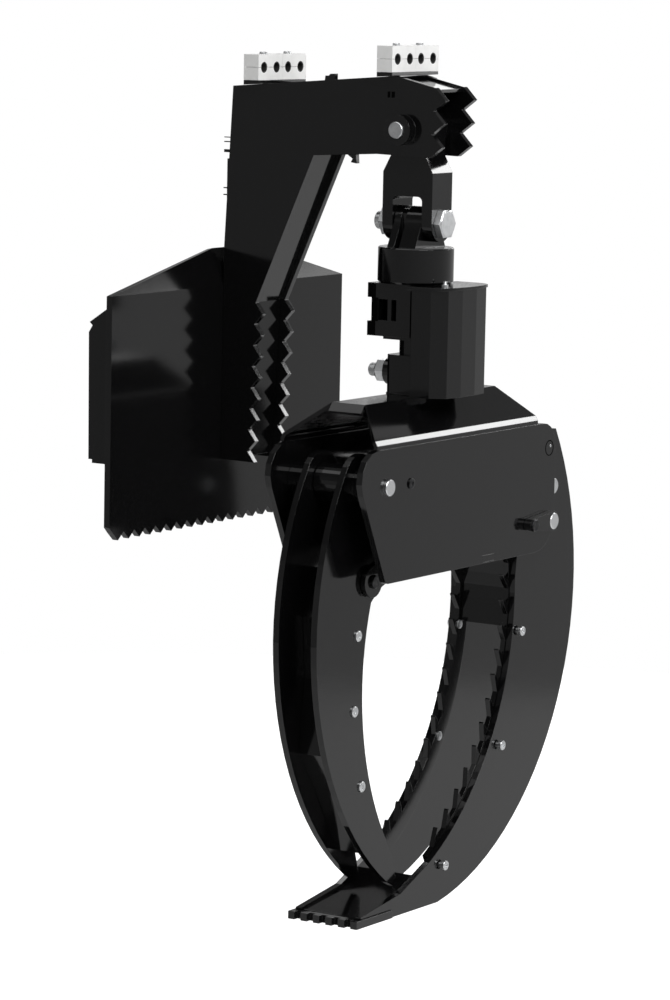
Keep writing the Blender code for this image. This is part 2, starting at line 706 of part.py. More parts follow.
def swing_link():
    shoulder, drop = LINK_SHOULDER, CROSS_BOLT_DROP
    leg = LINK_HALF_LENGTH
    arch = leg - LINK_CHEEK
    foot = -drop - LINK_HALF_WIDTH - OVERRUN
    right = [(leg, foot), (leg, -shoulder - LINK_CHEEK), (LINK_BOSS_RADIUS, -shoulder), (LINK_BOSS_RADIUS, 0)]
    left = [(-x, z) for x, z in reversed(right)]
    turn = arch - LINK_ARCH_FILLET
    crown = -LINK_ARCH_DROP - LINK_ARCH_FILLET
    inner = ([(-arch, foot)] + arc((-turn, crown), LINK_ARCH_FILLET, pi, pi / 2, 4)
             + arc((turn, crown), LINK_ARCH_FILLET, pi / 2, 0, 4) + [(arch, foot)])
    item = plate("swing_link", from_pin(right + left + inner), "Y", -LINK_HALF_WIDTH, 2 * LINK_HALF_WIDTH, "link")
    boss_half = BOOM_WIDTH / 2 - PLATE - SEAT
    combine(item, bar_mesh(LINK_BOSS_RADIUS, (PIN_X, 0, PIN_Z), (0, 1, 0), -boss_half, boss_half), "UNION")
    centre = (0, CROSS_Z)
    reach = LINK_HALF_LENGTH + OVERRUN
    rounded = arc(centre, LINK_HALF_WIDTH, pi, 2 * pi, 16)
    top = PIN_Z + LINK_BOSS_RADIUS + OVERRUN
    side = BOOM_WIDTH / 2
    shoulder_z = PIN_Z - LINK_BOSS_RADIUS - OVERRUN
    trim = rounded + [(LINK_HALF_WIDTH, shoulder_z), (side, shoulder_z), (side, top), (-side, top),
                      (-side, shoulder_z), (-LINK_HALF_WIDTH, shoulder_z)]
    combine(item, stand(sheet_mesh(trim, (), 2 * reach), "X", PIN_X - reach), "INTERSECT")
    combine(item, bar_mesh(BORE_RADIUS, (PIN_X, 0, PIN_Z), (0, 1, 0), -side, side, 24), "DIFFERENCE")
    bore = BOLT_RADIUS + PIN_CLEARANCE
    combine(item, bar_mesh(bore, (PIN_X, 0, CROSS_Z), (1, 0, 0), -reach, reach, 24), "DIFFERENCE")


def hex_bolt(name, place, way, radius, length, flat, head, finish, body):
    """A bolt whose head's underside is at the place and whose shank runs along the way."""
    profile = [(0, -head), (flat * 0.92, -head), (flat, -head * 0.86, "hex"), (flat, 0, "hex"),
               (radius, 0), (radius, length - MM), (radius - MM, length), (0, length)]
    return turned(name, profile, place, way, finish, body, sides=24)


def hex_nut(name, place, way, bore, flat, height, finish, body):
    profile = [(bore, 0), (flat, 0, "hex"), (flat, height * 0.86, "hex"), (flat * 0.92, height), (bore, height)]
    return turned(name, profile, place, way, finish, body, sides=24)


def cross_bolt():
    head_x = PIN_X + LINK_HALF_LENGTH + SEAT
    length = 2 * (LINK_HALF_LENGTH + SEAT) + HEX_HEIGHT + BOLT_TAIL
    hex_bolt("cross_bolt", (head_x, 0, CROSS_Z), (-1, 0, 0), BOLT_RADIUS, length, HEX_HALF, HEX_HEIGHT, ZINC, "link")
    hex_nut("cross_nut", (PIN_X - LINK_HALF_LENGTH - SEAT, 0, CROSS_Z), (-1, 0, 0), BOLT_RADIUS + SEAT,
            HEX_HALF, HEX_HEIGHT, ZINC, "link")


# Rotator

def rotator_housing():
    """The upper half of the rotator: a lug on the cross bolt over a round housing."""
    top = -HOUSING_TOP
    foot = top - HOUSING_HEIGHT
    edge = 4 * MM
    profile = [(0, top), (HOUSING_RADIUS - edge, top), (HOUSING_RADIUS, top - edge), (HOUSING_RADIUS, foot + edge),
               (HOUSING_RADIUS - edge, foot), (SHAFT_RADIUS + SEAT, foot), (SHAFT_RADIUS + SEAT, foot + 2 * SHAFT_RADIUS),
               (0, foot + 2 * SHAFT_RADIUS)]
    item = turned("rotator_housing", profile, (PIN_X, 0, CROSS_Z), (0, 0, 1), BLACK, "stator")
    lug = arc((0, CROSS_Z), LUG_RADIUS, 0, pi, 12) + [(-LUG_FOOT, CROSS_Z + top - OVERRUN),
                                                      (LUG_FOOT, CROSS_Z + top - OVERRUN)]
    start = PIN_X - LUG_HALF_LENGTH
    combine(item, stand(sheet_mesh(lug, (), 2 * LUG_HALF_LENGTH), "X", start), "UNION")
    low, high = CROSS_Z + top + SEAT, CROSS_Z + LUG_RADIUS + OVERRUN
    for side in (-1, 1):
        near, far = side * RECESS_SPACING, side * HOUSING_RADIUS
        recess = [(near, low), (far, low), (far, high), (near, high)]
        combine(item, stand(sheet_mesh(recess, (), RECESS_WIDTH), "X", PIN_X + RECESS_START), "DIFFERENCE")
    bore = BOLT_RADIUS + PIN_CLEARANCE
    combine(item, bar_mesh(bore, (PIN_X, 0, CROSS_Z), (1, 0, 0), -HOUSING_RADIUS, HOUSING_RADIUS, 24), "DIFFERENCE")


def swivel_block():
    """The hose swivel under the housing: an open block whose window shows its core."""
    top = CROSS_Z - HOUSING_TOP - HOUSING_HEIGHT - SEAT
    foot = top - SWIVEL_HEIGHT
    length, width = SWIVEL_HALF_LENGTH, SWIVEL_HALF_WIDTH
    side = [(-length, foot), (SHAFT_RADIUS, foot), (SHAFT_RADIUS, top), (-length, top), (-length, top - SPOOL_FLANGE),
            (SPOOL_NOTCH - length, top - SPOOL_FLANGE), (SPOOL_NOTCH - length, foot + SPOOL_FLANGE),
            (-length, foot + SPOOL_FLANGE)]
    low, high = foot + SWIVEL_WALL, top - SWIVEL_WALL
    windows = []
    for start, stop in SWIVEL_SLOTS:
        window = [(start, low), (stop, low), (stop, high), (start, high)]
        windows.append([(PIN_X + x, z) for x, z in window])
    outline = [(PIN_X + x, z) for x, z in side]
    item = plate("rotator_swivel_block", outline, "Y", -width, 2 * width, "head", holes=windows)
    bore = bar_mesh(SHAFT_RADIUS + SEAT, (PIN_X, 0, foot), (0, 0, 1), -OVERRUN, SWIVEL_HEIGHT + OVERRUN)
    combine(item, bore, "DIFFERENCE")


def rotator_shaft():
    top = CROSS_Z - HOUSING_TOP - HOUSING_HEIGHT + 2 * SHAFT_RADIUS - SEAT
    foot = ROOF_Z + SEAT + SOCKET_HEIGHT - 2 * LOCK_DROP
    item = turned("rotator_shaft", rod_profile(SHAFT_RADIUS, foot - top, 0, MM), (PIN_X, 0, top), (0, 0, 1),
                  BLACK, "head")
    lock_z = ROOF_Z + SOCKET_HEIGHT - LOCK_DROP
    bore = bar_mesh(LOCK_RADIUS + PIN_CLEARANCE, (PIN_X, 0, lock_z), (1, 0, 0), -SOCKET_HALF_WIDTH, SOCKET_HALF_WIDTH,
                    24)
    combine(item, bore, "DIFFERENCE")


def shaft_socket():
    """The welded socket on the roof that the rotator's shaft is bolted into."""
    height = SOCKET_HEIGHT
    floor = height - 2 * LOCK_DROP
    half, corner = SOCKET_HALF_WIDTH, SOCKET_HALF_WIDTH - SOCKET_CHAMFER
    outline = [(half, -corner), (half, corner), (corner, half), (-corner, half), (-half, corner), (-half, -corner),
               (-corner, -half), (corner, -half)]
    item = plate("shaft_socket", [(PIN_X + x, y) for x, y in outline], "Z", ROOF_Z + SEAT, height - SEAT, "head")
    well = bar_mesh(SHAFT_RADIUS + SEAT, (PIN_X, 0, ROOF_Z), (0, 0, 1), floor, height + OVERRUN)
    combine(item, well, "DIFFERENCE")
    lock_z = ROOF_Z + height - LOCK_DROP
    reach = half + OVERRUN
    bore = bar_mesh(LOCK_RADIUS + PIN_CLEARANCE, (PIN_X, 0, lock_z), (1, 0, 0), -reach, reach, 24)
    combine(item, bore, "DIFFERENCE")
    hex_bolt("shaft_lock_bolt", (PIN_X + half + SEAT, 0, lock_z), (-1, 0, 0), LOCK_RADIUS,
             half + SEAT + LOCK_REACH + LOCK_HEX_HEIGHT, LOCK_HEX_HALF, LOCK_HEX_HEIGHT, ZINC, "head")
    ring = [(LOCK_RADIUS + SEAT, 0), (LOCK_SPACER_RADIUS, 0), (LOCK_SPACER_RADIUS, LOCK_SPACER_LENGTH),
            (LOCK_RADIUS + SEAT, LOCK_SPACER_LENGTH)]
    turned("shaft_lock_spacer", ring, (PIN_X - half - SEAT, 0, lock_z), (-1, 0, 0), BLACK, "head", 24)
    hex_nut("shaft_lock_nut", (PIN_X - half - LOCK_SPACER_LENGTH - 2 * SEAT, 0, lock_z), (-1, 0, 0),
            LOCK_RADIUS + SEAT, LOCK_HEX_HALF, 1.3 * LOCK_HEX_HEIGHT, ZINC, "head")


def guard_path(inset=0.0):
    """The guard's wall seen from above, from the near rear edge round to the far one."""
    near = [(GUARD_REAR, -GUARD_HALF_WIDTH)]
    depth = GUARD_FRONT - GUARD_REAR
    near += [(GUARD_REAR + a * depth, -b * GUARD_HALF_WIDTH) for a, b in GUARD_CHAMFER_SHARES]
    near += [(GUARD_FRONT, -GUARD_FLAT)]
    path = near + [(x, -y) for x, y in reversed(near)]
    return offset(path, inset) if inset else path


def rotator_guard():
    """A bent sheet guard round the hose side, with its top plate clamped on the shaft."""
    top = CROSS_Z - HOUSING_TOP - HOUSING_HEIGHT - 2 * SEAT - SWIVEL_HEIGHT
    foot = top - GUARD_SHEET
    upper = CROSS_Z - HOUSING_TOP - HOUSING_HEIGHT - GUARD_DROP
    lower = upper - GUARD_HEIGHT
    wall = guard_path() + guard_path(GUARD_SHEET)[::-1]
    item = plate("rotator_guard", [(PIN_X + x, y) for x, y in wall], "Z", lower, GUARD_HEIGHT, "head")
    cap = [(PIN_X + x, y) for x, y in guard_path()[1:-1]]
    rear = PIN_X + SHAFT_RADIUS + COVER
    cap = [(rear, -GUARD_HALF_WIDTH)] + cap + [(rear, GUARD_HALF_WIDTH)]
    combine(item, stand(sheet_mesh(cap, (), GUARD_SHEET), "Z", upper - GUARD_SHEET), "UNION")
    half = SHAFT_RADIUS + 2 * COVER
    reach = GUARD_FRONT - GUARD_SHEET / 2
    shelf = [(PIN_X - half, -half), (PIN_X + reach, -half), (PIN_X + reach, half), (PIN_X - half, half)]
    bore = [circle((PIN_X, 0), SHAFT_RADIUS + SEAT, 32)]
    combine(item, stand(sheet_mesh(shelf, bore, GUARD_SHEET), "Z", foot), "UNION")


# Head

def head_outline():
    """Head plate, seen along X, from the middle of its top edge."""
    return filleted([((-HEAD_LEFT, 0), HEAD_TOP_LEFT_FILLET), ((-HEAD_LEFT_FOOT, -HEAD_HEIGHT), HEAD_FOOT_FILLET),
                     ((HEAD_RIGHT, -HEAD_HEIGHT), HEAD_HEEL_FILLET), ((HEAD_RIGHT, 0), HEAD_TOP_RIGHT_FILLET)])


def from_head(points):
    return [(y, HEAD_Z + z) for y, z in points]


def head_plates():
    lock_left = (LEFT_PIVOT[0] + LOCK_BOLT_OFFSET, LEFT_PIVOT[1])
    lock_right = (RIGHT_PIVOT[0] - LOCK_BOLT_OFFSET, RIGHT_PIVOT[1])
    holes = [circle(LEFT_PIVOT, BORE_RADIUS), circle(RIGHT_PIVOT, BORE_RADIUS),
             circle(lock_left, LOCK_BOLT_RADIUS + PIN_CLEARANCE, 12),
             circle(lock_right, LOCK_BOLT_RADIUS + PIN_CLEARANCE, 12)]
    low = TIE_PLATE_RISE - HEAD_HEIGHT
    high = low + PLATE + 2 * SEAT
    middle = TIE_PLATE_REACH + TIE_PLATE_WIDTH / 2
    tab = TIE_TAB / 2 + SEAT
    holes.append([(middle - tab, low), (middle + tab, low), (middle + tab, high), (middle - tab, high)])
    holes = [from_head(hole) for hole in holes]
    outline = from_head(head_outline())
    plate("head_plate_near", outline, "X", HEAD_X + HEAD_HALF_WIDTH - PLATE, PLATE, "head", holes=holes)
    plate("head_plate_far", outline, "X", HEAD_X - HEAD_HALF_WIDTH, PLATE, "head", holes=holes)


def head_tie_plate():
    """The cross plate between the head plates, with a tab through each."""
    inner = HEAD_HALF_WIDTH - PLATE - SEAT
    outer = HEAD_HALF_WIDTH
    near_y, far_y = TIE_PLATE_REACH, TIE_PLATE_REACH + TIE_PLATE_WIDTH
    middle = (near_y + far_y) / 2
    tab = TIE_TAB / 2
    side = [(inner, near_y), (inner, middle - tab), (outer, middle - tab), (outer, middle + tab),
            (inner, middle + tab), (inner, far_y)]
    outline = [(HEAD_X + x, y) for x, y in side] + [(HEAD_X - x, y) for x, y in reversed(side)]
    plate("head_tie_plate", outline, "Z", HEAD_Z - HEAD_HEIGHT + TIE_PLATE_RISE + SEAT, PLATE, "head")


def head_roof():
    """The folded roof: a flat, two slopes, a bevel along each foot and a flap at each end."""
    foot_x = HEAD_HALF_WIDTH
    bevel_x = foot_x - ROOF_BEVEL
    foot = (-ROOF_LEFT_FOOT, ROOF_RIGHT_FOOT)
    levels = [(ROOF_FLAT, ROOF_RISE, (-ROOF_HALF_TOP, ROOF_HALF_TOP)), (bevel_x, ROOF_LIP + ROOF_BEVEL, foot),
              (foot_x, ROOF_LIP, foot), (foot_x, SEAT, foot)]
    across = [(-x, z, ends) for x, z, ends in reversed(levels)] + levels
    mesh = bmesh.new()
    rows = [[mesh.verts.new((HEAD_X + x, y, HEAD_Z + z)) for y in ends] for x, z, ends in across]
    for row, following in zip(rows, rows[1:]):
        mesh.faces.new((row[0], row[1], following[1], following[0]))
    flap_y = ROOF_HALF_TOP + ROOF_END_FLAP * cos(radians(50))
    flap_z = HEAD_Z + ROOF_RISE - ROOF_END_FLAP * sin(radians(50))
    for end in (0, 1):
        left, right = rows[3][end], rows[4][end]
        y = flap_y if end else -flap_y
        mesh.faces.new((left, right, mesh.verts.new((HEAD_X + ROOF_FLAT, y, flap_z)),
                        mesh.verts.new((HEAD_X - ROOF_FLAT, y, flap_z))))
    item = add_object("head_roof", mesh, BLACK, "head", smooth=False)
    outward = item.data.polygons[3].normal.z > 0
    sheet = item.modifiers.new("sheet", "SOLIDIFY")
    sheet.thickness = COVER
    sheet.offset = -1 if outward else 1
    sheet.use_even_offset = True


def teardrop(pivot, bolt, big, small):
    """A flag round a pin that narrows to its locking bolt."""
    way = atan2(bolt[1] - pivot[1], bolt[0] - pivot[0])
    spread = asin((big - small) / hypot(bolt[0] - pivot[0], bolt[1] - pivot[1]))
    lean = pi / 2 - spread
    return arc(pivot, big, way + lean, way + 2 * pi - lean, 14) + arc(bolt, small, way - lean, way + lean, 8)


def pivot_pins():
    """The two tine pins, each held by a flag and a locking bolt on one head plate."""
    half = HEAD_HALF_WIDTH
    settings = (("left", LEFT_PIVOT, 1, -1), ("right", RIGHT_PIVOT, -1, 1))
    for side, pivot, bolt_way, flag_end in settings:
        place = (HEAD_X, pivot[0], HEAD_Z + pivot[1])
        flag = PIN_FLAG
        flag_tip = half + SEAT + flag
        ends = sorted((flag_end * (flag_tip + PIN_FLAG_PROUD), -flag_end * (half + PIN_PROUD)))
        pin = turned(side + "_pivot_pin", rod_profile(PIN_RADIUS, ends[0], ends[1], MM), place, (1, 0, 0),
                     ZINC, "head")
        bolt = (pivot[0] + bolt_way * LOCK_BOLT_OFFSET, pivot[1])
        outline = from_head(teardrop(pivot, bolt, PIN_RADIUS + PIN_FLAG_RIM, LOCK_BOLT_HEAD))
        hole = [from_head(circle(bolt, LOCK_BOLT_RADIUS + PIN_CLEARANCE, 12))]
        start = min(flag_end * (half + SEAT), flag_end * flag_tip)
        combine(pin, stand(sheet_mesh(outline, hole, flag), "X", HEAD_X + start), "UNION")
        bolt_place = (HEAD_X + flag_end * (flag_tip + SEAT), bolt[0], HEAD_Z + bolt[1])
        hex_bolt(side + "_pin_lock_bolt", bolt_place, (-flag_end, 0, 0), LOCK_BOLT_RADIUS,
                 flag + PLATE + LOCK_BOLT_TAIL, LOCK_BOLT_HEAD, LOCK_BOLT_HEAD_HEIGHT, ZINC, "head")


# Tines

def tine_pair(name, outline, half_width, bosses, holes, body):
    """Two equal tine plates, with hub bosses that reach out to the head plates."""
    plate(name + "_plate_near", outline, "X", HEAD_X + half_width - PLATE, PLATE, body, holes=holes, bosses=bosses)
    plate(name + "_plate_far", outline, "X", HEAD_X - half_width, PLATE, body, holes=holes, bosses=bosses,
          boss_side=-1)


def left_tine_outline():
    top = arc(LEFT_PIVOT, LEFT_TOP_RADIUS, 0, radians(140), 10)
    outer = bow(top[-1], LEFT_OUTER_FOOT, LEFT_OUTER_BULGE, 24)[1:]
    inner = bow(LEFT_INNER_TOP, LEFT_INNER_FOOT, LEFT_INNER_BULGE, 20)[::-1]
    eye = arc(LEFT_TIE_PIVOT, LEFT_TIE_EYE_RADIUS, radians(-50), radians(20), 6)
    return from_head(top + outer + list(LEFT_TIP) + inner + eye)


def hook_strip(shape, shares, count, depth):
    """A toothed strip along an arc: a smooth back and leaning teeth toward the centre."""
    centre, radius, begin, turn = shape
    start = begin + turn * shares[0]
    stop = begin + turn * shares[1]
    step = (stop - start) / count
    root = radius - STRIP_SEAT
    tip, lean, blunt, heel = root - depth, *HOOK_SHARES
    teeth = []
    for i in range(count):
        teeth.append((root, start + i * step))
        teeth.append((tip, start + (i - lean) * step))
        teeth.append((tip, start + (i - lean + blunt) * step))
        teeth.append((root, start + (i + heel) * step))
    teeth.append((root, stop))
    toothed = [(centre[0] + r * cos(a), centre[1] + r * sin(a)) for r, a in teeth]
    back = arc(centre, radius + STRIP_WIDTH, stop, start - step / 2, 2 * count)
    return toothed + back


STRIP_SEAT = 2 * MM
HOOK_SHARES = (0.18, 0.06, 0.45)
LEFT_STRIP_SHARES = (0.093, 0.93)
LEFT_TOOTH_COUNT = 8
LEFT_TOOTH_DEPTH = 6 * MM
RIGHT_STRIP_SHARES = (1.09, 0.023)
RIGHT_TOOTH_COUNT = 13
RIGHT_TOOTH_DEPTH = 17 * MM
RIGHT_WEB_SHARES = (1.09, 0.85)
LEFT_WEB_PATH = ((-200 * MM, 533 * MM), (-253 * MM, 467 * MM), (-246 * MM, 373 * MM), (-257 * MM, 261 * MM),
                 (-209 * MM, 194 * MM), (-151 * MM, 97 * MM))


def left_tine():
    outer_boss = HEAD_HALF_WIDTH - PLATE - SEAT - LEFT_HALF_WIDTH
    pivot = from_head([LEFT_PIVOT])[0]
    bosses = [(pivot, BORE_RADIUS, HUB_RADIUS, outer_boss)]
    tie_hole = from_head(circle(LEFT_TIE_PIVOT, TIE_PIN_RADIUS + PIN_CLEARANCE))
    tine_pair("left_tine", left_tine_outline(), LEFT_HALF_WIDTH, bosses, [tie_hole], "left_tine")
    inner = LEFT_HALF_WIDTH - PLATE - SEAT
    path = [(y, rise - TIP_DROP) for y, rise in LEFT_WEB_PATH]
    plate("left_tine_web", from_head(band(path, WEB)), "X", HEAD_X - inner, 2 * inner, "left_tine")
    shape = bow_circle(LEFT_INNER_TOP, LEFT_INNER_FOOT, LEFT_INNER_BULGE)
    strip = from_head(hook_strip(shape, LEFT_STRIP_SHARES, LEFT_TOOTH_COUNT, LEFT_TOOTH_DEPTH))
    plate("left_tooth_strip_near", strip, "X", HEAD_X + inner - STRIP_THICKNESS, STRIP_THICKNESS, "left_tine")
    plate("left_tooth_strip_far", strip, "X", HEAD_X - inner, STRIP_THICKNESS, "left_tine")
    reach = LEFT_HALF_WIDTH + TIE_BAR_GAP + TIE_BAR + TIE_PIN_PROUD
    place = (HEAD_X, LEFT_TIE_PIVOT[0], HEAD_Z + LEFT_TIE_PIVOT[1])
    turned("left_tie_pin", rod_profile(TIE_PIN_RADIUS, -reach, reach, MM), place, (1, 0, 0), ZINC, "left_tine", 24)


def right_tine_outline():
    """The right tine plate: an outer and an inner arc, a toe on the tip plate and a waisted top."""
    toe = -TIP_DROP + TIP_PLATE + SEAT
    outer = bow(RIGHT_OUTER_FOOT, RIGHT_OUTER_TOP, RIGHT_OUTER_BULGE, 30)[::-1]
    end = -0.93 * TIP_REACH
    foot = [(-TIP_HEEL, -TIP_DROP), (-TIP_HEEL, toe), (end, toe), (end, toe + TOE_WALL),
            (TOE_KNEE[0], TOE_KNEE[1] - TIP_DROP)]
    inner = bow(RIGHT_INNER_FOOT, RIGHT_INNER_TOP, RIGHT_INNER_BULGE, 24)
    waist = arc(RIGHT_PIVOT, RIGHT_WAIST_RADIUS, radians(200), radians(160), 4)
    top = arc(RIGHT_TIE_PIVOT, RIGHT_TOP_RADIUS, radians(165), radians(90), 6)
    return from_head((outer + foot + inner + waist + top)[::-1])


def tip_teeth():
    """Square teeth across the tip plate's front edge, from near to far."""
    pitch = 2 * TIP_HALF_WIDTH / (2 * TIP_TOOTH_COUNT - 1)
    points = []
    for i in range(TIP_TOOTH_COUNT):
        start = TIP_HALF_WIDTH - 2 * i * pitch
        points += [(start, -TIP_REACH), (start - pitch, -TIP_REACH)]
        if i + 1 < TIP_TOOTH_COUNT:
            root = TIP_TOOTH_DEPTH - TIP_REACH
            points += [(start - pitch, root), (start - 2 * pitch, root)]
    return points


def right_tine():
    outer_boss = HEAD_HALF_WIDTH - PLATE - SEAT - RIGHT_HALF_WIDTH
    pivot = from_head([RIGHT_PIVOT])[0]
    bosses = [(pivot, BORE_RADIUS, HUB_RADIUS, outer_boss)]
    holes = [from_head(circle(ROD_PIVOT, BORE_RADIUS)),
             from_head(circle(RIGHT_TIE_PIVOT, TIE_PIN_RADIUS + PIN_CLEARANCE))]
    tine_pair("right_tine", right_tine_outline(), RIGHT_HALF_WIDTH, bosses, holes, "right_tine")
    inner = RIGHT_HALF_WIDTH - PLATE - SEAT
    shape = bow_circle(RIGHT_INNER_FOOT, RIGHT_INNER_TOP, RIGHT_INNER_BULGE)
    centre, radius, begin, turn = shape
    path = arc(centre, radius + WEB / 2, *(begin + turn * share for share in RIGHT_WEB_SHARES), 6)
    between = inner - STRIP_THICKNESS - SEAT
    plate("right_tine_web", from_head(band(path, WEB)), "X", HEAD_X - between, 2 * between, "right_tine")
    floor = TIP_PLATE + SEAT - TIP_DROP
    rise, knee = SCOOP_RISE - TIP_DROP, TOE_KNEE[1] - SCOOP_KNEE_DROP - TIP_DROP
    scoop = [(-SCOOP_REACH, rise), (TOE_KNEE[0], knee), (-0.92 * TIP_REACH, floor), (-0.75 * TIP_REACH, floor),
             (TOE_KNEE[0], knee - WEB), (-SCOOP_REACH, rise - WEB)]
    plate("right_tine_scoop", from_head(scoop), "X", HEAD_X - inner, 2 * inner, "right_tine")
    half = TIP_HALF_WIDTH
    tip = [(HEAD_X + x, y) for x, y in [(-half, -TIP_HEEL - SEAT), (half, -TIP_HEEL - SEAT)] + tip_teeth()]
    plate("right_tip_plate", tip, "Z", TIP_Z, TIP_PLATE, "right_tine")
    strip = from_head(hook_strip(shape, RIGHT_STRIP_SHARES, RIGHT_TOOTH_COUNT, RIGHT_TOOTH_DEPTH))
    plate("right_tooth_strip_near", strip, "X", HEAD_X + inner - STRIP_THICKNESS, STRIP_THICKNESS, "right_tine")
    plate("right_tooth_strip_far", strip, "X", HEAD_X - inner, STRIP_THICKNESS, "right_tine")
    hub_place = (HEAD_X, RIGHT_PIVOT[0], HEAD_Z + RIGHT_PIVOT[1])
    turned("right_tine_hub", [(BORE_RADIUS, -inner), (HUB_RADIUS, -inner), (HUB_RADIUS, inner), (BORE_RADIUS, inner)],
           hub_place, (1, 0, 0), BLACK, "right_tine", 24)
    reach = RIGHT_HALF_WIDTH + PIN_PROUD
    turned("rod_pin", rod_profile(PIN_RADIUS, -reach, reach, MM),
           (HEAD_X, ROD_PIVOT[0], HEAD_Z + ROD_PIVOT[1]), (1, 0, 0), ZINC, "right_tine", 24)
    reach = RIGHT_HALF_WIDTH + TIE_PIN_PROUD
    turned("right_tie_pin", rod_profile(TIE_PIN_RADIUS, -reach, reach, MM),
           (HEAD_X, RIGHT_TIE_PIVOT[0], HEAD_Z + RIGHT_TIE_PIVOT[1]), (1, 0, 0), ZINC, "right_tine", 24)


# Cylinder and tie bars

def cylinder_way():
    """Length and direction from the cylinder's base pin to its rod pin."""
    across = ROD_PIVOT[0] - LEFT_PIVOT[0]
    down = ROD_PIVOT[1] - LEFT_PIVOT[1]
    length = hypot(across, down)
    return length, Vector((0, across / length, down / length))


def cylinder():
    length, way = cylinder_way()
    base = Vector((HEAD_X, LEFT_PIVOT[0], HEAD_Z + LEFT_PIVOT[1]))
    edge = 3 * MM
    profile = [(0, BARREL_START), (BARREL_RADIUS - edge, BARREL_START), (BARREL_RADIUS, BARREL_START + edge),
               (BARREL_RADIUS, BARREL_END - GLAND_LENGTH), (GLAND_RADIUS, BARREL_END - GLAND_LENGTH),
               (GLAND_RADIUS, BARREL_END - edge), (GLAND_RADIUS - edge, BARREL_END),
               (ROD_RADIUS + SEAT, BARREL_END), (ROD_RADIUS + SEAT, BARREL_END - GLAND_LENGTH),
               (BARREL_BORE, BARREL_END - GLAND_LENGTH), (BARREL_BORE, BARREL_START + PISTON_LENGTH / 2),
               (0, BARREL_START + PISTON_LENGTH / 2)]
    barrel = turned("cylinder_barrel", profile, base, way, BLACK, "cylinder")
    neck = BASE_EYE_RADIUS - COVER
    stem = aim(turned_mesh(rod_profile(neck, 0, BARREL_START + OVERRUN), 24), base, way)
    combine(barrel, stem, "UNION")
    half = BASE_EYE_HALF_WIDTH
    combine(barrel, bar_mesh(BASE_EYE_RADIUS, base, (1, 0, 0), -half, half), "UNION")
    for place in (BARREL_START + PISTON_LENGTH, BARREL_END - 2 * GLAND_LENGTH):
        centre = base + way * place
        down = Vector((0, way.z, -way.y))
        port = aim(turned_mesh(rod_profile(PORT_RADIUS, BARREL_BORE + OVERRUN, BARREL_RADIUS + PORT_HEIGHT), 16),
                   centre, down)
        combine(barrel, port, "UNION")
    combine(barrel, bar_mesh(BORE_RADIUS, base, (1, 0, 0), -half - OVERRUN, half + OVERRUN, 24), "DIFFERENCE")

    bar = [(0, ROD_START), (BARREL_BORE - SEAT, ROD_START), (BARREL_BORE - SEAT, ROD_START + PISTON_LENGTH),
           (ROD_RADIUS, ROD_START + PISTON_LENGTH), (ROD_RADIUS, length), (0, length)]
    rod = turned("cylinder_rod", bar, base, way, CHROME, "rod")
    tip = base + way * length
    half = ROD_EYE_HALF_WIDTH
    combine(rod, bar_mesh(ROD_EYE_RADIUS, tip, (1, 0, 0), -half, half), "UNION")
    bore = PIN_RADIUS + OPEN_ROD_CLEARANCE
    combine(rod, bar_mesh(bore, tip, (1, 0, 0), -half - OVERRUN, half + OVERRUN, 24), "DIFFERENCE")


def tie_bar_outline():
    """A flat bar with a close eye on the left tine and a wide one on the right."""
    start = Vector(LEFT_TIE_PIVOT)
    stop = Vector(RIGHT_TIE_PIVOT)
    way = stop - start
    slant = atan2(way.y, way.x)
    wide = TIE_PIN_RADIUS + OPEN_TIE_CLEARANCE + OPEN_EYE_WALL
    near_half = asin(TIE_BAR_HALF_HEIGHT / TIE_EYE_RADIUS)
    far_half = asin(TIE_BAR_HALF_HEIGHT / wide)
    left = arc(LEFT_TIE_PIVOT, TIE_EYE_RADIUS, slant + near_half, slant + 2 * pi - near_half, 18)
    right = arc(RIGHT_TIE_PIVOT, wide, slant + far_half - pi, slant + pi - far_half, 18)
    return left + right


def tie_bars():
    holes = [circle(LEFT_TIE_PIVOT, TIE_PIN_RADIUS + PIN_CLEARANCE),
             circle(RIGHT_TIE_PIVOT, TIE_PIN_RADIUS + OPEN_TIE_CLEARANCE)]
    holes = [from_head(hole) for hole in holes]
    outline = from_head(tie_bar_outline())
    start = LEFT_HALF_WIDTH + TIE_BAR_GAP
    plate("tie_bar_near", outline, "X", HEAD_X + start, TIE_BAR, "tie_bars", holes=holes)
    plate("tie_bar_far", outline, "X", HEAD_X - start - TIE_BAR, TIE_BAR, "tie_bars", holes=holes)


back_plate()
receiver()
boom()
hose_clamps()
swing_link()
cross_bolt()
rotator_housing()
rotator_shaft()
swivel_block()
shaft_socket()
rotator_guard()
head_plates()
head_tie_plate()
head_roof()
pivot_pins()
left_tine()
right_tine()
cylinder()
tie_bars()
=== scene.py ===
"""Looks of the log grapple: paint, zinc and chrome, small fasteners, floor, light and camera."""
import json
from math import cos, pi, radians, sin, tan

import bmesh
import bpy
from mathutils import Matrix, Vector


